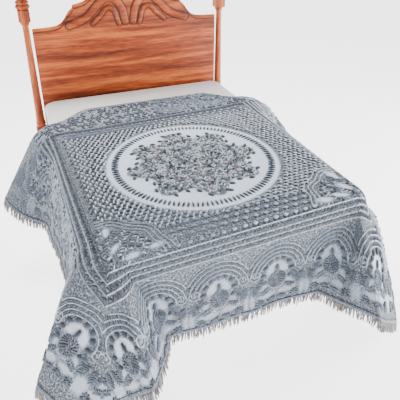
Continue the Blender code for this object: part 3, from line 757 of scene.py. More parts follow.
@dataclass(frozen=True)
class Layout:
    """The pattern's places and sizes, in pattern coordinates."""

    centre: Tuple[float, float] = (0.004, 0.648)
    turn: float = 1.9
    ring_inner: float = 0.413
    ring_outer: float = 0.450
    rim_outer: float = 0.477
    lobes: int = 8
    lobe_valley: float = 0.282
    lobe_rise: float = 0.090
    field_half: float = 0.655
    field_head: float = 0.615
    band_pitch: float = 0.0305
    band_lines: int = 4
    fan_pitch: float = 0.305
    fan_shift: float = -0.0125
    fan_depth: float = 0.200
    left_drops: Tuple[Tuple[float, float, float, float], ...] = (
        (0.055, 0.210, 0.015, 0.032), (0.065, 0.090, 0.013, 0.036),
        (0.125, 0.030, 0.013, 0.034), (0.235, 0.050, 0.015, 0.034),
    )
    right_drops: Tuple[Tuple[float, float, float, float], ...] = (
        (0.045, 0.225, 0.020, 0.048), (0.225, 0.045, 0.020, 0.048),
        (0.055, 0.105, 0.018, 0.044), (0.125, 0.050, 0.018, 0.044),
    )

    @property
    def band_width(self) -> float:
        """The banded frame's width from its first line to its last."""
        return self.band_pitch * (self.band_lines - 1)

    def to_cloth(self, p: Array, q: Array) -> Tuple[Array, Array]:
        """Cloth coordinates of pattern places."""
        c, s = math.cos(math.radians(self.turn)), math.sin(math.radians(self.turn))
        return self.centre[0] + p * c - q * s, self.centre[1] + p * s + q * c

    def from_cloth(self, across: Array, along: Array) -> Tuple[Array, Array]:
        """Pattern coordinates of cloth places."""
        c, s = math.cos(math.radians(self.turn)), math.sin(math.radians(self.turn))
        x, y = across - self.centre[0], along - self.centre[1]
        return x * c + y * s, y * c - x * s

    def lobe_radius(self, angle: Array) -> Array:
        """The medallion's radius: a raised cosine to the power 1.3, with one crest for each lobe."""
        crest = 0.5 + 0.5 * np.cos(self.lobes * angle)
        return self.lobe_valley + self.lobe_rise * crest**1.3

    def border_place(self, p: Array, q: Array) -> Tuple[Array, Array]:
        """A place as (from the nearest fan's middle, outwards from the band's last line).

        Inside the band's last line the second value is negative.
        """
        edge = self.field_half + self.band_width
        head_edge = self.field_head + 0.03
        outs = np.stack([-q - edge, np.abs(p) - edge, q - head_edge])
        runs = np.stack([p - self.fan_shift, q - self.fan_shift, p - 0.02])
        nearest = np.argmax(outs, axis=0)
        out = np.take_along_axis(outs, nearest[None], 0)[0]
        run = np.take_along_axis(runs, nearest[None], 0)[0]
        start = self.fan_pitch / 2.0
        return (run - start + self.fan_pitch / 2.0) % self.fan_pitch - self.fan_pitch / 2.0, out

    def bare(self, p: Array, q: Array) -> Array:
        """1 on bare cloth and 0 in tufting, with edges softened over about a centimetre."""
        soft = 0.005
        radius, angle = np.hypot(p, q), np.arctan2(q, p)

        def inside(distance: Array) -> Array:
            """1 well inside an outline, from the signed distance outside it."""
            return smooth_step(0.5 - distance / (2.0 * soft))

        ground = inside(radius - self.rim_outer) * (1.0 - inside(radius - self.lobe_radius(angle) - 0.004))
        for side, drops in ((-1.0, self.left_drops), (1.0, self.right_drops)):
            for i, j, half_width, half_length in drops:
                away = math.atan2(j, i)
                c, s = math.cos(away), math.sin(away)
                x, y = self.field_half - side * p - i, self.field_half + q - j
                along, across = x * c + y * s, y * c - x * s
                shape = np.hypot(along / half_length, across / half_width) - 1.0
                ground = np.maximum(ground, inside(shape * half_width))
        a, b = self.border_place(p, q)
        depth = b - self.fan_depth
        shade_fading = self.shade_fading(p, q)
        arch = np.hypot(a / 0.062, np.minimum(depth, 0.0) / 0.072) - 1.0
        flower = np.hypot(a, b - 0.236)
        halo = np.abs(flower - 0.057) - 0.007
        heart = np.maximum(inside(np.maximum(arch * 0.06, depth)), 0.5 * inside(halo))
        heart = heart * (1.0 - inside(np.hypot(a / 0.014, (b - 0.172) / 0.028) * 0.014 - 0.014))
        heart = heart * (1.0 - inside(flower - 0.048))
        patch = np.hypot((np.abs(a) - 0.058) / 0.052, (b - 0.318) / 0.018) - 1.0
        low = np.hypot((np.abs(a) - 0.138) / (0.013 + 0.012 * (shade_fading < 0.1)), (b - 0.325) / 0.045) - 1.0
        beside = np.hypot((np.abs(a) - 0.070) / 0.015, (b - 0.272) / 0.052) - 1.0
        lower = np.maximum(np.maximum(inside(patch * 0.018), inside(low * 0.014)), inside(beside * 0.015))
        border = np.maximum(heart, 0.82 * lower)
        # Where the border's pattern fades, its bare patches are drawn less pale: painted shade along the head and the
        # left.
        return np.maximum(ground, border * np.minimum(0.86, 0.95 - shade_fading) * (b > 0.0))

    def shade_fading(self, p: Array, q: Array) -> Array:
        """How faint the border's pattern is drawn: most along the head and the left, as painted shade, less at the
        foot and least at corners.
        """
        foot = 0.30 * smooth_step((0.66 - np.abs(p)) / 0.08)
        left = 0.55 * smooth_step((q + 0.62) / 0.10) * (p < 0.0)
        head = np.where(p > 0.0, 0.60, 0.88) * (q > self.field_head + 0.03)
        return np.maximum(np.maximum(foot * (q < -self.field_half), left), head)


@dataclass
class Strokes:
    """Tufts of one kind: short runs of yarn, each a row of points in pattern coordinates."""

    paths: List[Array] = field(default_factory=list)
    widths: List[Array] = field(default_factory=list)
    heights: List[Array] = field(default_factory=list)
    colours: List[Array] = field(default_factory=list)

    def add(self, paths: Array, width: float, height: float, colours: Array) -> None:
        """Add strokes.

        Args:
            paths: strokes by stations by 2.
            width: their width, or one for each.
            height: their height, or one for each.
            colours: one colour, or one for each.
        """
        count = len(paths)
        self.paths.append(paths)
        self.widths.append(np.broadcast_to(width, count))
        self.heights.append(np.broadcast_to(height, count))
        self.colours.append(np.broadcast_to(np.asarray(colours, float), (count, 3)))

    def add_dashes(self, middles: Array, angles: Union[Array, float], length: float, width: float,
                   height: float, colours: Array) -> None:
        """Add short straight dashes of three stations through their middles."""
        run = length * np.linspace(-0.5, 0.5, 3)
        turned = np.broadcast_to(angles, len(middles))[:, None]
        c, s = np.cos(turned), np.sin(turned)
        offset = np.stack([run * c, run * s], -1)
        self.add(middles[:, None, :] + offset, width, height, colours)

    def add_line(self, points: Array, width: float, height: float, colour: Colour,
                 stretch: float = 0.045, stations: int = 5) -> None:
        """Add a long line as a chain of strokes end to end."""
        lengths = np.concatenate([[0.0], np.cumsum(np.linalg.norm(np.diff(points, axis=0), axis=1))])
        count = max(1, round(lengths[-1] / stretch))
        starts = np.arange(count)[:, None] + np.linspace(-0.04, 1.04, stations)
        at = np.clip(starts / count, 0.0, 1.0) * lengths[-1]
        paths = np.stack([np.interp(at, lengths, points[:, k]) for k in range(2)], -1)
        self.add(paths, width, height, colour)

    def build(self, name: str, drape: Drape, layout: Layout, finish: bpy.types.Material) -> bpy.types.Object:
        """Stand the strokes on the draped cloth as closed ridges.

        A ridge is a five-sided section, low at its edges and round on top, carried along the
        stroke and drawn in at both ends. Their dye holds painted shade: darker at each ridge's low
        edges and beside the right foot corner's crease.

        Args:
            name: the piece's name.
            drape: the cloth they stand on.
            layout: the pattern's layout.
            finish: their material.

        Returns:
            The piece, one mesh of all strokes.
        """
        points: List[Array] = []
        faces: List[Array] = []
        ends: List[Array] = []
        dyes_and_painted_shade: List[Array] = []
        total = 0
        for paths, widths, heights, colours in zip(self.paths, self.widths, self.heights, self.colours):
            across, along = layout.to_cloth(paths[..., 0], paths[..., 1])
            kept = drape.covers(across, along).all(axis=1)
            paths = np.stack([across, along], -1)[kept]
            if not len(paths):
                continue
            made, quads, caps, stations = self.ridges(paths, widths[kept], heights[kept], drape)
            points.append(made)
            faces.append(quads + total)
            ends.append(caps + total)
            # Painted shade: each ridge's two low edges, where it meets the cloth, are darkened to 0.78.
            shades = np.tile((0.78, 1.0, 1.0, 1.0, 0.78), (stations, 1))
            # Painted shade: tufts beside the right foot corner's crease are darkened by up to 0.52.
            lit = 1.0 - 0.52 * drape.crease_shade(*paths.mean(axis=1).T)
            dyed_and_shaded = colours[kept] * lit[:, None]
            dyes_and_painted_shade.append((dyed_and_shaded[:, None, None, :] * shades[None, ..., None]).reshape(-1, 3))
            total += len(made)
        every = [*np.concatenate(faces).tolist(), *np.concatenate(ends).tolist()]
        piece = new_piece(name, np.concatenate(points), every, finish)
        set_colours(piece, "dye", np.concatenate(dyes_and_painted_shade))
        return piece

    @staticmethod
    def ridges(paths: Array, widths: Array, heights: Array, drape: Drape) -> Tuple[Array, Array, Array, int]:
        """Vertices and faces of strokes with the same number of stations."""
        count, stations = paths.shape[:2]
        tangent = np.gradient(paths, axis=1)
        tangent /= np.maximum(np.linalg.norm(tangent, axis=-1, keepdims=True), 1e-9)
        side = np.stack([-tangent[..., 1], tangent[..., 0]], -1)
        draw = np.full(stations, 1.0)
        draw[[0, -1]] = 0.5
        spread = np.array((-0.5, -0.34, 0.0, 0.34, 0.5))
        stand = np.array((-0.15, 0.72, 1.0, 0.72, -0.15))
        wide = widths[:, None, None] * draw[None, :, None] * spread
        flat = paths[:, :, None, :] + wide[..., None] * side[:, :, None, :]
        high = heights[:, None, None] * (0.35 + 0.65 * draw)[None, :, None] * stand
        made = drape.pile_place(flat[..., 0], flat[..., 1], high)
        index = np.arange(count * stations * 5).reshape(count, stations, 5)
        after = np.roll(index, -1, axis=2)
        quads = np.stack([index[:, :-1], index[:, 1:], after[:, 1:], after[:, :-1]], -1).reshape(-1, 4)
        caps = np.concatenate([index[:, 0], index[:, -1, ::-1]])
        return made.reshape(-1, 3), quads, caps, stations


@dataclass
class SpreadSheet:
    """The spread's cloth: one sheet whose head end is turned under."""

    drape: Drape
    layout: Layout
    columns: int = 214
    near_rows: int = 101
    far_rows: int = 91
    under_rows: int = 14
    near_end: float = 0.62

    def rows(self) -> Tuple[Array, Array, Array]:
        """The sheet's grid of flat places and their heights above the lower layer.

        Rows run straight across as far as near_end and then bend towards the fold line. A half
        turn of radius layer_step / 2 leads round to the layer below.

        Returns:
            across, along and height, rows by columns.
        """
        across = np.linspace(-self.drape.half, self.drape.half, self.columns)
        fold = self.drape.fold_line(across)
        near = np.linspace(-self.drape.drop, self.near_end, self.near_rows)[:-1]
        upper = [np.full_like(across, y) for y in near]
        upper += [self.near_end + s * (fold - self.near_end) for s in np.linspace(0.0, 1.0, self.far_rows)]
        heights = [self.drape.rise(across, y) for y in upper]
        half = self.drape.layer_step / 2.0
        for turn in np.radians((36.0, 72.0, 108.0, 144.0)):
            upper.append(fold + half * math.sin(turn))
            heights.append(np.full_like(fold, half * (1.0 + math.cos(turn))))
        for share in np.linspace(0.0, 1.0, self.under_rows):
            upper.append(fold - share * self.drape.turned_under)
            heights.append(np.zeros_like(fold))
        along = np.array(upper)
        return np.broadcast_to(across, along.shape), along, np.array(heights)

    def build(self) -> bpy.types.Object:
        """The sheet, 3 mm thick, with its tufting marked in the pile attribute and its painted crease shade in a
        second attribute.
        """
        across, along, height = self.rows()
        points = self.drape.on(across, along, height)
        sheet = new_piece("spread_cloth", points.reshape(-1, 3), grid_faces(*across.shape), WovenGround().build())
        pile = 1.0 - self.layout.bare(*self.layout.from_cloth(across, along))
        pile[-self.under_rows - 4:] = 0.7
        set_floats(sheet, "pile", pile)
        # Painted shade beside the right foot corner's crease, at 0.85 of its full depth.
        set_floats(sheet, "crease_shade", 0.85 * self.drape.crease_shade(across, along))
        set_cloth_map(sheet, np.stack([across, along], -1).reshape(-1, 2))
        body = sheet.modifiers.new("thickness", "SOLIDIFY")
        body.thickness = self.drape.thick
        body.offset = 0.0
        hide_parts("bedspread")
        return sheet


@dataclass
class MedallionTufts:
    """The round medallion: a lobed flower in mixed yarns inside a ring of radial dashes."""

    drape: Drape
    layout: Layout
    seed: int = 5
    ring_dashes: int = 118
    row_pitch: float = 0.0132
    dash_pitch: float = 0.0155

    def build(self, yarn: bpy.types.Material) -> bpy.types.Object:
        """The medallion's tufts."""
        strokes = Strokes()
        self.add_ring(strokes)
        self.add_edge_dots(strokes)
        self.add_flower(strokes)
        return strokes.build("medallion_tufts", self.drape, self.layout, yarn)

    def add_ring(self, strokes: Strokes) -> None:
        """Radial dashes at equal angles."""
        rng = np.random.default_rng(self.seed)
        angle = np.arange(self.ring_dashes) * 2.0 * math.pi / self.ring_dashes
        radius = (self.layout.ring_inner + self.layout.ring_outer) / 2.0
        middles = radius * np.stack([np.cos(angle), np.sin(angle)], -1)
        tones = np.array(PILE_DARK) * rng.uniform(0.6, 1.2, (len(angle), 1))
        lean = angle + rng.normal(0.0, 0.10, len(angle))
        length = self.layout.ring_outer - self.layout.ring_inner
        strokes.add_dashes(middles, lean, length, 0.0130, 0.009, tones)

    def add_edge_dots(self, strokes: Strokes) -> None:
        """Separate dark dots beside each lobe's tip and below it."""
        for away, radius in ((0.150, 0.357), (0.300, 0.312)):
            tips = np.arange(self.layout.lobes) * 2.0 * math.pi / self.layout.lobes
            angle = np.concatenate([tips - away, tips + away])
            middles = radius * np.stack([np.cos(angle), np.sin(angle)], -1)
            strokes.add_dashes(middles, angle + 0.9, 0.031, 0.023, 0.010, PILE_DARK)

    def add_flower(self, strokes: Strokes) -> None:
        """Rings of slanting dashes out to the lobed edge, eightfold, in mixed yarns."""
        rng = np.random.default_rng(self.seed + 1)
        palette = np.array([PILE_DARK, PILE_MID, YARN_SAGE, YARN_ROSE, PILE_LIGHT, RIDGE_LIGHT, PILE_LIGHT])
        for number, radius in enumerate(np.arange(0.012, 0.375, self.row_pitch)):
            count = max(6, 8 * round(2.0 * math.pi * radius / (8 * self.dash_pitch)))
            angle = (np.arange(count) + 0.5 * (number % 2)) * 2.0 * math.pi / count
            angle = angle + rng.normal(0.0, 0.15 * self.dash_pitch / max(radius, 0.02), count)
            angle = angle[radius < self.layout.lobe_radius(angle) - 0.006]
            if not len(angle):
                continue
            middles = radius * np.stack([np.cos(angle), np.sin(angle)], -1)
            slant = np.where((np.arange(len(angle)) + number) % 2 == 0, 0.8, -0.8)
            petal = 0.5 + 0.5 * np.cos(4.0 * angle) * math.cos(radius * 62.0)
            pick = np.clip((petal * 3.0 + rng.uniform(-2.0, 5.5, len(angle))).astype(int), 0, 6)
            strokes.add_dashes(middles, angle + slant, 0.0175, 0.0082, 0.0085, palette[pick])


@dataclass
class FieldTufts:
    """The field round the medallion: staggered dark dots with pale dashes between them."""

    drape: Drape
    layout: Layout
    seed: int = 11
    pitch: Tuple[float, float] = (0.0315, 0.0250)
    corner_reach: float = 0.30
    dot_rows: Tuple[float, ...] = (-0.636, -0.594, -0.552, -0.512)
    dot_pitch: float = 0.053

    def build(self, yarn: bpy.types.Material) -> bpy.types.Object:
        """The field's tufts."""
        strokes = Strokes()
        self.add_quincunx(strokes)
        self.add_dot_rows(strokes)
        return strokes.build("field_tufts", self.drape, self.layout, yarn)

    def corner_distance(self, middles: Array) -> Array:
        """Distance of places from the nearest of the field's two foot corners."""
        corner = self.layout.field_half
        return np.hypot(corner - np.abs(middles[:, 0]), middles[:, 1] + corner)

    def lattice(self, pitch_p: float, pitch_q: float, start: float, end: float) -> Array:
        """Places in staggered rows from start to end along q, inside the field's sides."""
        rows = np.arange(start, end, pitch_q)
        half = self.layout.field_half - 0.018
        columns = np.arange(-half, half, pitch_p)
        p, q = np.meshgrid(columns, rows)
        p = p + (np.arange(len(rows)) % 2)[:, None] * pitch_p / 2.0
        places = np.stack([p.ravel(), q.ravel()], -1)
        return places[np.abs(places[:, 0]) < half]

    def add_quincunx(self, strokes: Strokes) -> None:
        """Dark dots on a staggered grid and pale dashes half a pitch beside them.

        Towards the side edges the dots lengthen into slanting dashes.
        """
        rng = np.random.default_rng(self.seed)
        places = self.lattice(*self.pitch, -0.500, self.layout.field_head - 0.070)
        radius = np.hypot(places[:, 0], places[:, 1])
        free = (radius > self.layout.rim_outer + 0.014) & (self.corner_distance(places) > self.corner_reach)
        places = places[free]
        places = places + rng.normal(0.0, 0.0024, places.shape)
        edge = smooth_step((np.abs(places[:, 0]) - 0.46) / 0.12)
        slant = -np.sign(places[:, 0]) * edge
        calm = smooth_step((-0.30 - places[:, 1]) / 0.12) * smooth_step((0.22 - places[:, 0]) / 0.2)
        calm = 0.75 * calm[:, None]
        tones = np.array(PILE_DARK) * rng.uniform(0.6, 1.5, (len(places), 1))
        tones = (1.0 - calm) * tones + calm * np.array(PILE_MID)
        middle = edge < 0.5
        wander = rng.normal(0.0, 0.25, len(places))
        strokes.add_dashes(places[middle], (0.9 * slant + wander)[middle], 0.0175, 0.0105, 0.0085, tones[middle])
        strokes.add_dashes(places[~middle], (slant + wander)[~middle], 0.027, 0.0080, 0.0085, tones[~middle])
        side = smooth_step((places[:, 0] + 0.25) / 0.45)
        light = places + np.stack([0.5 - 0.25 * side, 0.25 * side], -1) * np.array(self.pitch)
        kept = np.abs(light[:, 0]) < self.layout.field_half - 0.012
        turned = 0.82 - 1.22 * side + 0.9 * slant * (1.0 - side) + wander
        pale = (1.0 - calm) * np.array(PILE_LIGHT) + calm * np.array(RIDGE_LIGHT)
        pale = pale * rng.uniform(0.8, 1.08, (len(places), 1))
        strokes.add_dashes(light[kept], turned[kept], 0.0240, 0.0102, 0.0095, pale[kept])

    def add_dot_rows(self, strokes: Strokes) -> None:
        """Rows of pale round dots in dark lattice beside the foot band and at the head."""
        rows = [(q, k % 2) for k, q in enumerate(self.dot_rows)]
        rows += [(self.layout.field_head - 0.020, 0), (self.layout.field_head - 0.055, 1)]
        for q, odd in rows:
            p = np.arange(-0.60, 0.60, self.dot_pitch) + odd * self.dot_pitch / 2.0
            places = np.stack([p, np.full_like(p, q)], -1)
            radius = np.hypot(p, q)
            places = places[(self.corner_distance(places) > self.corner_reach) & (radius > self.layout.rim_outer + 0.02)]
            if not len(places):
                continue
            faint = 0.8 * smooth_step((0.04 - places[:, :1]) / 0.25)
            tones = (1.0 - faint) * np.array(RIDGE_LIGHT) + faint * np.array(PILE_MID)
            strokes.add_dashes(places, 0.0, 0.020, 0.017, 0.010, tones)
            between = places + np.array((self.dot_pitch / 2.0, 0.0))
            strokes.add_dashes(between, 0.0, 0.014, 0.012, 0.008, PILE_MID)
            for side in (-1.0, 1.0):
                around = places + np.array((side * 0.0125, -0.008))
                tones = (1.0 - faint) * np.array(PILE_DARK) + faint * np.array(PILE_MID)
                strokes.add_dashes(around, side * 0.9, 0.017, 0.0075, 0.007, tones)
                strokes.add_dashes(between + (0.0, side * 0.012), side * 0.6, 0.014, 0.006, 0.006, PILE_MID)


@dataclass
class CornerSprays:
    """The field's foot corners: leaf dashes round bare drops, closed by three quarter arcs."""

    drape: Drape
    layout: Layout
    seed: int = 17
    arcs: Tuple[float, ...] = (0.255, 0.278, 0.301)

    def build(self, yarn: bpy.types.Material) -> bpy.types.Object:
        """The sprays' tufts."""
        strokes = Strokes()
        for side in (-1.0, 1.0):
            self.add_spray(strokes, side)
        return strokes.build("corner_spray_tufts", self.drape, self.layout, yarn)

    def add_spray(self, strokes: Strokes, side: float) -> None:
        """One corner's spray; distances run inwards from the field's corner."""
        rng = np.random.default_rng(self.seed)
        corner = np.array((side * self.layout.field_half, -self.layout.field_half))
        inward = np.array((-side, 1.0))
        for radius in self.arcs:
            turn = np.linspace(0.06, math.pi / 2.0 - 0.06, 60)
            wave = radius + 0.010 * np.cos(10.0 * turn)
            line = corner + inward * (wave[:, None] * np.stack([np.cos(turn), np.sin(turn)], -1))
            tone = RIDGE_LIGHT if side > 0.0 else mixed_dye(PILE_MID, RIDGE_LIGHT, 0.55)
            strokes.add_line(line, 0.0058, 0.007, tone)
        dark = PILE_DARK if side > 0.0 else mixed_dye(PILE_DARK, PILE_MID, 0.6)
        for number, radius in enumerate(np.arange(0.035, 0.245, 0.0175)):
            count = max(2, round(radius * math.pi / 2.0 / 0.019))
            turn = (np.arange(count) + 0.5) * math.pi / 2.0 / count
            away = radius * np.stack([np.cos(turn), np.sin(turn)], -1)
            middles = corner + inward * away
            free = self.layout.bare(middles[:, 0], middles[:, 1]) < 0.2
            slant = np.where((np.arange(count) + number) % 2 == 0, 0.7, -0.7)
            angle = np.arctan2(np.sin(turn + slant), -side * np.cos(turn + slant))
            palette = np.array([dark, PILE_MID, RIDGE_LIGHT, PILE_MID])
            pick = rng.integers(0, 4, count)
            if free.any():
                strokes.add_dashes(middles[free], angle[free], 0.021, 0.0085, 0.0085, palette[pick[free]])


@dataclass
class BandTufts:
    """The frame of four raised lines with zigzag stitches between them, and the hem's line."""

    drape: Drape
    layout: Layout
    seed: int = 31
    zigzag_pitch: float = 0.0115
    side_steps: int = 120
    filling_pitch: float = 0.0285

    def build(self, yarn: bpy.types.Material) -> bpy.types.Object:
        """The band's tufts."""
        strokes = Strokes()
        for number in range(self.layout.band_lines):
            edge = self.layout.field_half + number * self.layout.band_pitch
            line = self.frame_line(edge)
            left = PILE_DARK if number == 0 else mixed_dye(PILE_MID, RIDGE_LIGHT, 0.45)
            strokes.add_line(line[:self.side_steps], 0.0064, 0.0085, left, 0.05)
            strokes.add_line(line[self.side_steps - 1:], 0.0064, 0.0085, RIDGE_LIGHT, 0.05)
        for number in range(self.layout.band_lines - 1):
            self.add_zigzag(strokes, self.layout.field_half + (number + 0.5) * self.layout.band_pitch)
        self.add_head_line(strokes)
        self.add_hem_line(strokes)
        self.add_filling(strokes)
        return strokes.build("band_tufts", self.drape, self.layout, yarn)

    def frame_line(self, edge: float) -> Array:
        """One line of the frame: up the left side, along the foot and up the right side."""
        head = self.layout.field_head + 0.03
        corners = np.array(((-edge, head), (-edge, -edge), (edge, -edge), (edge, head)))
        steps = [np.linspace(a, b, self.side_steps)[:-1] for a, b in zip(corners, corners[1:])]
        return np.concatenate([*steps, corners[-1:]])

    def add_zigzag(self, strokes: Strokes, edge: float) -> None:
        """Dashes that slant one way and the other in turn along a frame line."""
        line = self.frame_line(edge)
        lengths = np.concatenate([[0.0], np.cumsum(np.linalg.norm(np.diff(line, axis=0), axis=1))])
        at = np.arange(0.5, lengths[-1] / self.zigzag_pitch) * self.zigzag_pitch
        middles = np.stack([np.interp(at, lengths, line[:, k]) for k in range(2)], -1)
        run = np.gradient(middles, axis=0)
        angle = np.arctan2(run[:, 1], run[:, 0]) + np.where(np.arange(len(at)) % 2 == 0, 0.95, -0.95)
        rng = np.random.default_rng(self.seed)
        tones = np.array(PILE_MID) * rng.uniform(0.2, 0.75, (len(at), 1))
        strokes.add_dashes(middles, angle, 0.019, 0.0068, 0.006, tones)

    def add_head_line(self, strokes: Strokes) -> None:
        """The broad dark line that closes the field at the head."""
        p = np.linspace(-self.layout.field_half - 0.09, self.layout.field_half + 0.09, 120)
        for shift in (0.0, 0.011, 0.022):
            q = np.full_like(p, self.layout.field_head + shift)
            strokes.add_line(np.stack([p, q], -1), 0.010, 0.004, PILE_DARK)

    def add_filling(self, strokes: Strokes) -> None:
        """Rows of slanting dashes, dark and pale, where the border lies plain at head and left."""
        rng = np.random.default_rng(self.seed + 1)
        edge = self.layout.field_half + self.layout.band_width
        for number in range(10):
            out = 0.024 + number * self.filling_pitch
            p = np.arange(-0.76, 0.76, 0.019) + 0.0095 * (number % 2)
            head = np.stack([p, np.full_like(p, self.layout.field_head + 0.03 + out)], -1)
            q = np.arange(-0.54, 0.62, 0.019) + 0.0095 * (number % 2)
            left = np.stack([np.full_like(q, -edge - out), q], -1)
            for places, turned in ((head, 0.0), (left, math.pi / 2.0)):
                slant = np.where((np.arange(len(places)) + number) % 2 == 0, 0.8, -0.8)
                slant = slant + rng.normal(0.0, 0.2, len(places))
                dark = (rng.uniform(0.0, 1.0, (len(places), 1)) < 0.6).astype(float)
                tones = dark * np.array(PILE_DARK) * 1.3 + (1.0 - dark) * np.array(RIDGE_LIGHT)
                strokes.add_dashes(places, turned + slant, 0.025, 0.0085, 0.0075, tones)

    def add_hem_line(self, strokes: Strokes) -> None:
        """A dark stitched line 14 mm inside the three fringed hems."""
        inset = 0.014
        x, y, head = self.drape.half - inset, inset - self.drape.drop, self.drape.head_fold_side - 0.01
        corners = np.array(((-x, head), (-x, y), (x, y), (x, head)))
        line = np.concatenate([np.linspace(a, b, 200) for a, b in zip(corners, corners[1:])])
        p, q = self.layout.from_cloth(line[:, 0], line[:, 1])
        strokes.add_line(np.stack([p, q], -1), 0.008, 0.004, PILE_DARK)


class Border(Enum):
    """The border's stretches, each with its number in Layout.border_place's order."""

    FOOT = 0
    LEFT = 1
    RIGHT = 2
    HEAD = 3


@dataclass
class FanBorderTufts:
    """The border of fans between the band and the hem.

    A fan's own coordinates are a along the band and b outwards from the band's last line.
    """

    drape: Drape
    layout: Layout
    stretch: Border
    seed: int = 41
    arcs: Tuple[float, ...] = (0.170, 0.148, 0.126, 0.104)

    def fan(self) -> List[Tuple[Array, Array, Array, Array]]:
        """One fan's strokes as (paths, widths, heights, colours) in its own coordinates."""
        motif = Strokes()
        rng = np.random.default_rng(self.seed)
        middle = self.layout.fan_depth
        half = self.layout.fan_pitch / 2.0 - 0.004
        for radius in self.arcs:
            reach = math.asin(min(0.99, half / radius))
            turn = np.linspace(-reach, reach, 60)
            line = np.stack([radius * np.sin(turn), middle - radius * np.cos(turn)], -1)
            motif.add_line(line, 0.0062, 0.0080, RIDGE_LIGHT, 0.04)
        for outer, inner in zip(self.arcs, self.arcs[1:]):
            radius = (outer + inner) / 2.0
            reach = math.asin(min(0.97, half / radius))
            turn = np.arange(-reach, reach, 0.0105 / radius)
            places = np.stack([radius * np.sin(turn), middle - radius * np.cos(turn)], -1)
            tones = np.array(PILE_MID) * rng.uniform(0.35, 1.15, (len(turn), 1))
            motif.add_dashes(places, -turn + math.pi / 2.0 + 0.35, 0.014, 0.0055, 0.006, tones)
        turn = np.radians(np.arange(-112.0, 113.0, 28.0))
        dots = np.stack([0.078 * np.sin(turn), middle - 0.088 * np.cos(turn)], -1)
        motif.add_dashes(dots, math.pi / 2.0 - turn, 0.030, 0.027, 0.012, tuple(1.25 * c for c in PILE_DARK))
        self.add_rosette(motif, (0.0, 0.236), (0.007, 0.019, 0.031, 0.043), rng)
        self.add_sprigs(motif, rng)
        return list(zip(motif.paths, motif.widths, motif.heights, motif.colours))

    @staticmethod
    def add_rosette(motif: Strokes, place: Tuple[float, float], radii: Sequence[float],
                    rng: np.random.Generator) -> None:
        """A flower: rings of slanting dashes in dark and middling tones."""
        for number, radius in enumerate(radii):
            count = max(4, round(2.0 * math.pi * radius / 0.0135))
            turn = (np.arange(count) + 0.5 * (number % 2)) * 2.0 * math.pi / count
            middles = np.array(place) + radius * np.stack([np.cos(turn), np.sin(turn)], -1)
            tones = np.array(PILE_MID) * rng.uniform(0.3, 1.25, (count, 1))
            motif.add_dashes(middles, turn + 0.6, 0.0155, 0.0095, 0.0085, tones)

    @staticmethod
    def add_leaf(motif: Strokes, place: Tuple[float, float], angle: float, length: float,
                 rng: np.random.Generator) -> None:
        """A leaf: five pairs of slanting dashes along a midrib."""
        share = np.linspace(-0.4, 0.4, 5)
        run = np.array((math.cos(angle), math.sin(angle)))
        middles = np.array(place) + length * share[:, None] * run
        reach = 0.36 * length * (1.0 - np.abs(share) * 1.1)
        for side in (-1.0, 1.0):
            across = side * np.array((-run[1], run[0]))
            tips = middles + 0.5 * reach[:, None] * across
            tones = np.array(PILE_MID) * rng.uniform(0.35, 1.3, (5, 1))
            motif.add_dashes(tips, angle + side * 0.9, 0.4 * length, 0.0090, 0.0080, tones)

    def add_sprigs(self, motif: Strokes, rng: np.random.Generator) -> None:
        """The bud, the leaves below the flower, the curls between fans and the low flowers."""
        motif.add_dashes(np.array([(0.0, 0.170)]), math.pi / 2.0, 0.042, 0.020, 0.010, PILE_DARK)
        for side in (-1.0, 1.0):
            curl = np.linspace(0.0, 3.2 * math.pi, 60)
            radius = 0.031 * (1.0 - curl / (3.9 * math.pi))
            place = np.stack([side * (0.120 + radius * np.cos(curl)), 0.172 + radius * np.sin(curl)], -1)
            motif.add_line(place, 0.0058, 0.0085, RIDGE_LIGHT, 0.03)
            motif.add_dashes(np.array([(side * 0.120, 0.172)]), 0.0, 0.013, 0.012, 0.009, PILE_MID)
            self.add_leaf(motif, (side * 0.092, 0.236), math.pi / 2.0 - side * 0.5, 0.058, rng)
            self.add_leaf(motif, (side * 0.128, 0.262), math.pi / 2.0 + side * 0.3, 0.060, rng)
            self.add_leaf(motif, (side * 0.066, 0.290), side * 0.5, 0.050, rng)
            self.add_rosette(motif, (side * 0.098, 0.348), (0.006, 0.018), rng)
            self.add_leaf(motif, (side * 0.030, 0.352), side * 0.25, 0.040, rng)

    def middles(self) -> Array:
        """Where fans of this stretch have their middles along the band."""
        shift = 0.02 if self.stretch is Border.HEAD else self.layout.fan_shift
        half = self.layout.fan_pitch / 2.0
        first = 0 if self.stretch is Border.HEAD else -4
        return shift + half + np.arange(first, 4) * self.layout.fan_pitch

    def to_pattern(self, a: Array, b: Array) -> Array:
        """Pattern coordinates of places along and outwards from this stretch's band."""
        edge = self.layout.field_half + self.layout.band_width
        if self.stretch is Border.FOOT:
            return np.stack([a, -(edge + b)], -1)
        if self.stretch is Border.LEFT:
            return np.stack([-(edge + b), a], -1)
        if self.stretch is Border.RIGHT:
            return np.stack([edge + b, a], -1)
        return np.stack([a, self.layout.field_head + 0.03 + b], -1)

    def own(self, places: Array) -> Array:
        """Whether pattern places belong to this stretch: it is the one they stand furthest out of."""
        p, q = places[..., 0], places[..., 1]
        edge = self.layout.field_half + self.layout.band_width
        outs = np.stack([-q - edge, -p - edge, p - edge, q - self.layout.field_head - 0.03])
        nearest = np.argmax(outs, axis=0)
        return nearest == self.stretch.value

    def build(self, yarn: bpy.types.Material) -> bpy.types.Object:
        """The fans of this stretch."""
        strokes = Strokes()
        for paths, widths, heights, colours in self.fan():
            for middle in self.middles():
                placed = self.to_pattern(paths[..., 0] + middle, paths[..., 1])
                kept = self.own(placed).all(axis=1)
                if kept.any():
                    places = placed[kept].mean(axis=1)
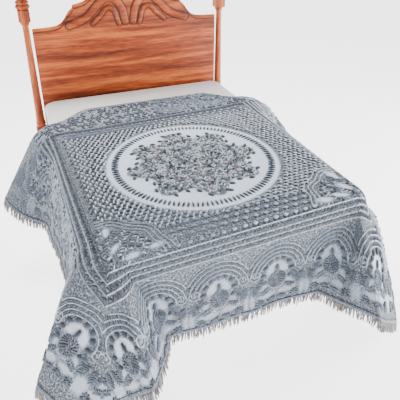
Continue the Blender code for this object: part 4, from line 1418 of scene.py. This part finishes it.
                    # Painted shade: the fans fade towards the middling pile tone, most along the head and the left.
                    faint = self.layout.shade_fading(places[:, 0], places[:, 1])[:, None]
                    shades = (1.0 - faint) * colours[kept] + faint * np.array(PILE_MID)
                    strokes.add(placed[kept], widths[kept], heights[kept], shades)
        name = f"fan_tufts_{self.stretch.name.lower()}"
        return strokes.build(name, self.drape, self.layout, yarn)


@dataclass
class HemFringe:
    """A fringed hem: a bound edge and the loose yarns that hang from it."""

    drape: Drape
    name: str
    start: Tuple[float, float]
    end: Tuple[float, float]
    inward: Tuple[float, float]
    seed: int
    pitch: float = 0.0066
    length: float = 0.050
    radius: float = 0.0032

    def hem(self, count: int) -> Tuple[Array, Array, Array]:
        """Points along the hem with the directions out of the cloth and along it."""
        share = np.linspace(0.0, 1.0, count)[:, None]
        flat = (1.0 - share) * np.array(self.start) + share * np.array(self.end)
        lift = self.drape.rise(flat[:, 0], flat[:, 1])
        edge = self.drape.on(flat[:, 0], flat[:, 1], lift)
        inner = flat + 0.012 * np.array(self.inward)
        inside = self.drape.on(inner[:, 0], inner[:, 1], lift)
        return edge, unit(edge - inside), unit(np.gradient(edge, axis=0))

    def build(self, yarn: bpy.types.Material, braid: bpy.types.Material, *nodes: str) -> List[bpy.types.Object]:
        """The yarns and the bound edge of this hem."""
        made = [self.yarns(yarn), self.binding(braid)]
        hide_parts(*nodes)
        return made

    def yarns(self, finish: bpy.types.Material) -> bpy.types.Object:
        """Four-sided yarns: each leaves the hem along the cloth and then falls.

        The yarn's direction turns from outwards to downwards as it goes, with a small lean of
        its own, and its section is a square drawn in at the tip.
        """
        rng = np.random.default_rng(self.seed)
        total = float(np.linalg.norm(np.subtract(self.end, self.start)))
        edge, out, along = self.hem(round(total / self.pitch))
        count, stations = len(edge), 5
        share = np.linspace(0.0, 1.0, stations)
        fall = 0.32 + 0.42 * share
        lean = rng.normal(0.0, 0.16, (count, 1, 1)) + rng.normal(0.0, 0.10, (count, 1, 1)) * share[None, :, None]
        lift = rng.normal(0.0, 0.10, (count, 1, 1))
        normal = np.cross(along, out)
        heading = (1.0 - fall)[None, :, None] * out[:, None] + fall[None, :, None] * np.array((0.0, 0.0, -1.0))
        heading = unit(heading + lean * along[:, None] + lift * normal[:, None])
        step = (self.length * rng.uniform(0.86, 1.06, (count, 1, 1))) / (stations - 1)
        spine = edge[:, None] + np.concatenate([np.zeros((count, 1, 3)), np.cumsum(heading[:, 1:] * step, axis=1)], 1)
        spine += rng.normal(0.0, 0.0012, (count, 1, 3))
        side = unit(np.cross(heading, normal[:, None]))
        face = np.cross(side, heading)
        size = self.radius * np.array((1.0, 1.15, 1.1, 0.95, 0.6))[None, :, None, None]
        corner = np.array(((1.0, 0.0), (0.0, 1.0), (-1.0, 0.0), (0.0, -1.0)))
        ring = corner[:, :1] * side[:, :, None] + corner[:, 1:] * face[:, :, None]
        points = spine[:, :, None] + size * ring
        index = np.arange(count * stations * 4).reshape(count, stations, 4)
        after = np.roll(index, -1, axis=2)
        quads = np.stack([index[:, :-1], index[:, 1:], after[:, 1:], after[:, :-1]], -1).reshape(-1, 4)
        caps = np.concatenate([index[:, 0], index[:, -1, ::-1]])
        piece = new_piece(f"fringe_yarns_{self.name}", points.reshape(-1, 3),
                          [*quads.tolist(), *caps.tolist()], finish)
        tones = np.array(FRINGE_GREY) * rng.uniform(0.5, 1.5, (count, 1, 1, 1))
        set_colours(piece, "dye", np.broadcast_to(tones, (*index.shape, 3)).reshape(-1, 3))
        return piece

    def binding(self, finish: bpy.types.Material) -> bpy.types.Object:
        """A flattened tube wrapped round the hem's edge: an ellipse carried along the hem."""
        total = float(np.linalg.norm(np.subtract(self.end, self.start)))
        edge, out, along = self.hem(round(total / 0.012))
        normal = np.cross(along, out)
        turn = np.linspace(0.0, 2.0 * math.pi, 9)[:-1]
        ring = 0.0062 * np.cos(turn)[:, None] * out[:, None] + 0.0030 * np.sin(turn)[:, None] * normal[:, None]
        points = edge[:, None] + ring - 0.003 * out[:, None]
        quads = grid_faces(len(edge), 8, closed_columns=True)[:, ::-1]
        last = (len(edge) - 1) * 8
        caps = [list(range(8)), list(range(last + 7, last - 1, -1))]
        piece = new_piece(f"hem_binding_{self.name}", points.reshape(-1, 3), [*quads.tolist(), *caps], finish)
        set_colours(piece, "dye", np.tile(np.array(PILE_MID), (len(points) * 8, 1)))
        return piece


@dataclass
class Block:
    """A mattress or box spring: a rounded plan carried up a soft-edged profile with two piped edges."""

    name: str
    node: str
    corner: float
    edge: float
    piping: float
    slot: str

    def profile(self, height: float) -> Array:
        """Pairs (inset from the widest outline, height), from the underside's middle to the top's."""
        arc = np.linspace(0.0, math.pi / 2.0, 7)
        e, p = self.edge, self.piping
        low = np.stack([e - e * np.sin(arc), e - e * np.cos(arc)], -1)
        bead = np.linspace(-math.pi / 2.0, math.pi / 2.0, 5)
        cord = np.stack([p * (1.0 - np.cos(bead)) - p, p * np.sin(bead)], -1)
        lower = cord + (p, e + 2.0 * p)
        upper = cord + (p, height - e - 2.0 * p)
        top = low[::-1] * (1.0, -1.0) + (0.0, height)
        return np.concatenate([low, lower, upper, top])

    def build(self, finish: bpy.types.Material) -> bpy.types.Object:
        """The block inside its CAD node's box.

        Each ring is the plan outline, a rectangle with quarter-circle corners, drawn in by the
        profile's inset; the flat faces are rings scaled towards the middle.
        """
        low, high = (np.array(corner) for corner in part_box(self.node))
        size = high - low
        profile = self.profile(float(size[2]))
        turn = np.linspace(0.0, 2.0 * math.pi, 97)[:-1] + math.pi / 96.0
        heads = np.stack([np.cos(turn), np.sin(turn)], -1)
        corner_middle = np.sign(heads) * (size[:2] / 2.0 - self.corner)
        rings = []
        inset_first, z_first = profile[0]
        inset_last, z_last = profile[-1]
        shares = (0.002, 0.25, 0.5, 0.75, 0.93)
        plan = [(inset_first, z_first, s) for s in shares]
        plan += [(inset, z, 1.0) for inset, z in profile]
        plan += [(inset_last, z_last, s) for s in reversed(shares)]
        for inset, z, share in plan:
            ring = corner_middle + heads * (self.corner - inset)
            rings.append(np.column_stack([ring * share, np.full(len(turn), z)]))
        points = np.array(rings) + (low + high) / 2.0 * (1.0, 1.0, 0.0) + (0.0, 0.0, low[2])
        quads = grid_faces(len(rings), len(turn), closed_columns=True)
        last = (len(rings) - 1) * len(turn)
        caps = [list(range(len(turn)))[::-1], list(range(last, last + len(turn)))]
        piece = new_piece(self.name, points.reshape(-1, 3) - BED_ORIGIN, [*quads.tolist(), *caps], finish)
        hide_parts(self.node)
        return piece


def rounded(points: Sequence[Sequence[float]], steps: int) -> Array:
    """More points on the Catmull-Rom curve through the given ones."""
    knots = np.array(points, float)
    ends = np.vstack([2 * knots[0] - knots[1], knots, 2 * knots[-1] - knots[-2]])
    t = (np.arange(steps) / steps)[:, None, None]
    a, b, c, d = ends[:-3], ends[1:-2], ends[2:-1], ends[3:]
    curve = 0.5 * (2 * b + (c - a) * t + (2 * a - 5 * b + 4 * c - d) * t**2 + (3 * b - a - 3 * c + d) * t**3)
    return np.vstack([curve.transpose(1, 0, 2).reshape(-1, knots.shape[1]), knots[-1:]])


@dataclass
class Headboard:
    """The turned posts and the carved board between them."""

    board_top: Tuple[Tuple[float, float], ...] = (
        (0.000, 0.735), (0.035, 0.745), (0.070, 0.780), (0.120, 0.790), (0.180, 0.775),
        (0.250, 0.725), (0.310, 0.680), (0.370, 0.662), (0.392, 0.658), (0.400, 0.636),
        (0.430, 0.608), (0.462, 0.562), (0.500, 0.530), (0.560, 0.516), (0.700, 0.512),
    )
    scroll: Tuple[Tuple[float, float], ...] = (
        (0.030, 0.520), (0.050, 0.615), (0.105, 0.685), (0.175, 0.685), (0.235, 0.635),
        (0.290, 0.580), (0.350, 0.545), (0.430, 0.520),
    )
    scroll_inner: Tuple[Tuple[float, float], ...] = (
        (0.075, 0.505), (0.110, 0.605), (0.160, 0.620), (0.205, 0.575), (0.265, 0.520),
    )
    foot: Tuple[Tuple[float, float], ...] = (
        (0.0, 0.024), (0.02, 0.029), (0.06, 0.033), (0.10, 0.026), (0.1197, 0.030),
    )
    shaft: Tuple[Tuple[float, float], ...] = (
        (-0.22, 0.036), (-0.205, 0.030), (-0.19, 0.036), (-0.16, 0.031), (-0.06, 0.028),
        (0.24, 0.024), (0.52, 0.021), (0.545, 0.026), (0.556, 0.030), (0.5697, 0.034),
    )
    finial: Tuple[Tuple[float, float], ...] = (
        (0.650, 0.034), (0.660, 0.045), (0.675, 0.047), (0.687, 0.038), (0.700, 0.045),
        (0.715, 0.030), (0.730, 0.024), (0.760, 0.036), (0.795, 0.040), (0.830, 0.030),
        (0.850, 0.017), (0.865, 0.024), (0.885, 0.033), (0.910, 0.034), (0.935, 0.024),
        (0.950, 0.010),
    )
    columns: int = 261
    rows: int = 91

    def build(self, upright: bpy.types.Material, across: bpy.types.Material) -> List[bpy.types.Object]:
        """All turned and carved pieces."""
        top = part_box("mattress")[1].z
        made = []
        for side in ("left", "right"):
            for part, table, base in (("foot", self.foot, 0.0), ("shaft", self.shaft, top), ("finial", self.finial, top)):
                node = f"post_{part}_{side}"
                low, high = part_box(node)
                place = np.array(((low.x + high.x) / 2.0, (low.y + high.y) / 2.0, base))
                made.append(self.turned(f"turned_{part}_{side}", node, table, place, upright))
        made.append(self.carved_board(top, across))
        return made

    @staticmethod
    def turned(name: str, node: str, table: Sequence[Sequence[float]], place: Array,
               finish: bpy.types.Material) -> bpy.types.Object:
        """A turned piece: the smoothed profile of radius against height carried round the axis."""
        profile = rounded(table, 4)
        turn = np.linspace(0.0, 2.0 * math.pi, 41)[:-1]
        circle = np.stack([np.cos(turn), np.sin(turn), np.zeros_like(turn)], -1)
        heights = profile[:, 0][:, None, None] * np.array((0.0, 0.0, 1.0))
        points = profile[:, 1][:, None, None] * circle + heights + place
        quads = grid_faces(len(profile), len(turn), closed_columns=True)
        last = (len(profile) - 1) * len(turn)
        caps = [list(range(len(turn)))[::-1], list(range(last, last + len(turn)))]
        piece = new_piece(name, points.reshape(-1, 3) - BED_ORIGIN, [*quads.tolist(), *caps], finish)
        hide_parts(node)
        return piece

    def relief(self, x: Array, z: Array, top: Array) -> Tuple[Array, Array]:
        """The carving's height and how deep in a groove each place is.

        Each scroll is a ribbon: its height falls from the middle as the square root of what is
        left, and a narrow groove runs along each side. A groove also follows the top edge.
        """
        places = np.stack([np.abs(x), z], -1)
        height, groove = np.zeros_like(x), np.zeros_like(x)
        for table, half in ((self.scroll, 0.026), (self.scroll_inner, 0.016)):
            line = rounded(table, 14)
            gap = np.min(np.hypot(places[..., None, 0] - line[:, 0], places[..., None, 1] - line[:, 1]), axis=-1)
            height = np.maximum(height, 0.009 * np.sqrt(np.clip(1.0 - (gap / half) ** 2, 0.0, 1.0)))
            groove = np.maximum(groove, np.exp(-(((gap - half - 0.003) / 0.0050) ** 2)))
        edge = top - z
        groove = np.maximum(groove, np.exp(-(((edge - 0.024) / 0.0048) ** 2)))
        round_over = 0.006 * smooth_step((0.012 - edge) / 0.012)
        return height - 0.0035 * groove - round_over, groove

    def carved_board(self, mattress_top: float, finish: bpy.types.Material) -> bpy.types.Object:
        """The board: its front and back are grids between the straight bottom and the shaped top."""
        low, high = (np.array(corner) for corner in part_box("headboard_panel"))
        middle = (low + high) / 2.0
        x = np.linspace(low[0], high[0], self.columns)
        outline = rounded(self.board_top, 8)
        top = np.interp(np.abs(x - middle[0]), outline[:, 0], outline[:, 1])
        share = 1.0 - (1.0 - np.linspace(0.0, 1.0, self.rows)) ** 1.5
        bottom = low[2] - mattress_top
        z = bottom + share[:, None] * (top - bottom)
        across = np.broadcast_to(x - middle[0], z.shape)
        height, groove = self.relief(across, z, np.broadcast_to(top, z.shape))
        front = np.stack([across + middle[0], low[1] - height, z + mattress_top], -1)
        back = np.stack([across + middle[0], np.full_like(z, high[1]), z + mattress_top], -1)
        sheet = np.concatenate([front, back[::-1]], axis=0)
        count = len(sheet)
        quads = grid_faces(count, self.columns)
        index = np.arange(count * self.columns).reshape(count, self.columns)
        close = np.stack([index[-1, :-1], index[-1, 1:], index[0, 1:], index[0, :-1]], -1)
        rows = self.rows
        sides = []
        for edge, flip in ((0, False), (-1, True)):
            near, far = index[:rows, edge], index[rows:, edge][::-1]
            quad = np.stack([near[:-1], near[1:], far[1:], far[:-1]], -1)
            sides.append(quad[:, ::-1] if flip else quad)
        every = [*quads.tolist(), *close.tolist(), *sides[0].tolist(), *sides[1].tolist()]
        piece = new_piece("carved_headboard", sheet.reshape(-1, 3) - BED_ORIGIN, every, finish)
        set_floats(piece, "groove", np.concatenate([groove, np.zeros_like(groove)]))
        scrolls = [f"scroll_{kind}_{side}" for kind in ("outer", "inner") for side in ("left", "right")]
        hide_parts("headboard_panel", *scrolls)
        return piece


@dataclass
class Framework:
    """The plain blocks, rails, legs and slats, which keep their CAD meshes."""

    def dress(self, upright: bpy.types.Material, across: bpy.types.Material, lengthwise: bpy.types.Material) -> None:
        """Give each kept node wood whose grain runs along it."""
        dark = StainedWood(Grain.UPRIGHT, dye(84, 66, 54), dye(66, 50, 40), dye(48, 36, 28)).build()
        for name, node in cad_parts.items():
            if name.startswith("foot_leg"):
                self.repaint(node, dark)
            elif name.startswith(("post_block", "post_cap_block")):
                self.repaint(node, upright)
            elif name.startswith("side_rail"):
                self.repaint(node, lengthwise)
            elif name.startswith(("slat", "foot_rail", "headboard_lower_rail")):
                self.repaint(node, across)

    @staticmethod
    def repaint(node: bpy.types.Object, finish: bpy.types.Material) -> None:
        """Replace the material in each of a node's slots."""
        for number in range(len(node.material_slots)):
            node.material_slots[number].material = finish


@dataclass
class Studio:
    """A pale floor, soft light and the camera."""

    camera_place: Tuple[float, float, float] = (-0.817, -1.52, 1.283)
    yaw: float = 21.66
    pitch: float = 26.3
    lens: float = 42.83
    rise: float = -0.15

    def build(self) -> None:
        """Everything that isn't part of the bed."""
        self.floor()
        self.camera()
        self.lights()

    def floor(self) -> None:
        """A large pale floor at z = 0 that glows a little, as paper lit from below does."""
        paint = Paint("studio_floor", Roughness=0.9, Emission_Color=(1.0, 1.0, 1.0, 1.0), Emission_Strength=2.8)
        place = paint.object_place()
        tone = paint.mixed(paint.noise(place, 0.8, 2.0), dye(240, 240, 240), dye(246, 246, 246))
        finish = paint.finish(tone, paint.noise(place, 60.0), 0.0002)
        mesh = bpy.data.meshes.new("floor")
        reach = 30.0
        mesh.from_pydata([(-reach, -reach, 0.0), (reach, -reach, 0.0), (reach, reach, 0.0), (-reach, reach, 0.0)],
                         [], [(0, 1, 2, 3)])
        mesh.materials.append(finish)
        floor = bpy.data.objects.new("floor", mesh)
        bpy.context.scene.collection.objects.link(floor)

    def camera(self) -> None:
        """The camera at the photograph's angle, aimed by its yaw and pitch."""
        data = bpy.data.cameras.new("camera")
        data.sensor_width = 36.0
        data.lens = self.lens
        data.shift_y = self.rise
        camera = bpy.data.objects.new("camera", data)
        place = np.array(self.camera_place) + BED_ORIGIN + np.array((0.0, 0.0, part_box("mattress")[1].z))
        camera.location = place.tolist()
        camera.rotation_euler = (math.radians(90.0 - self.pitch), 0.0, -math.radians(self.yaw))
        bpy.context.scene.collection.objects.link(camera)
        bpy.context.scene.camera = camera

    def lights(self) -> None:
        """Broad area lights and a pale surround."""
        self.area("key", (-0.8, 2.6, 3.2), (0.1, 0.4, 0.6), 1.2, 150.0)
        self.area("fill_right", (4.0, -0.9, 1.4), (0.5, 0.0, 0.5), 2.4, 390.0)
        self.area("fill_left", (-2.2, -2.8, 1.0), (-0.5, 0.0, 0.4), 1.8, 65.0)
        world = bpy.data.worlds.new("surround")
        world.use_nodes = True
        world.node_tree.nodes["Background"].inputs["Color"].default_value = (0.95, 0.97, 1.0, 1.0)
        world.node_tree.nodes["Background"].inputs["Strength"].default_value = 0.88
        bpy.context.scene.world = world

    @staticmethod
    def area(name: str, place: Sequence[float], target: Sequence[float], size: float, power: float) -> None:
        """A square soft light at a place in bed coordinates, facing a target."""
        data = bpy.data.lights.new(name, "AREA")
        data.size = size
        data.energy = power
        light = bpy.data.objects.new(name, data)
        light.location = (np.array(place) + BED_ORIGIN).tolist()
        direction = np.array(target, float) - np.array(place, float)
        yaw = math.atan2(direction[1], direction[0])
        dip = math.atan2(-direction[2], math.hypot(direction[0], direction[1]))
        light.rotation_euler = (math.pi / 2.0 - dip, 0.0, yaw - math.pi / 2.0)
        bpy.context.scene.collection.objects.link(light)


def main() -> None:
    """Build every piece in order and report it."""
    logging.basicConfig(level=logging.INFO, format="%(message)s")
    Studio().build()
    drape, layout = Drape(), Layout()
    yarn = ChenilleYarn().build()
    sheet = SpreadSheet(drape, layout).build()
    tufts = [
        MedallionTufts(drape, layout).build(yarn),
        FieldTufts(drape, layout).build(yarn),
        CornerSprays(drape, layout).build(yarn),
        BandTufts(drape, layout).build(yarn),
    ]
    tufts += [FanBorderTufts(drape, layout, stretch).build(yarn) for stretch in Border]
    half, drop, head = drape.half, drape.drop, drape.head_fold_side
    fringe_yarn = ChenilleYarn(380.0, 0.0015).build("fringe_yarn")
    hems = (
        HemFringe(drape, "left", (-half, head), (-half, -drop), (1.0, 0.0), 21),
        HemFringe(drape, "foot", (-half, -drop), (half, -drop), (0.0, 1.0), 22),
        HemFringe(drape, "right", (half, -drop), (half, head), (-1.0, 0.0), 23),
    )
    trims = [piece for hem in hems for piece in hem.build(fringe_yarn, yarn, f"fringe_{hem.name}")]
    drape.flat_area()
    Block("fitted_mattress", "mattress", 0.09, 0.036, 0.004, "white_sheet").build(Percale().build())
    Block("covered_box_spring", "box_spring", 0.03, 0.012, 0.004, "box_spring_cloth").build(Ticking().build())
    upright, across, lengthwise = (StainedWood(grain).build() for grain in Grain)
    Headboard().build(upright, across)
    Framework().dress(upright, across, lengthwise)


if __name__ == "__main__":
    main()
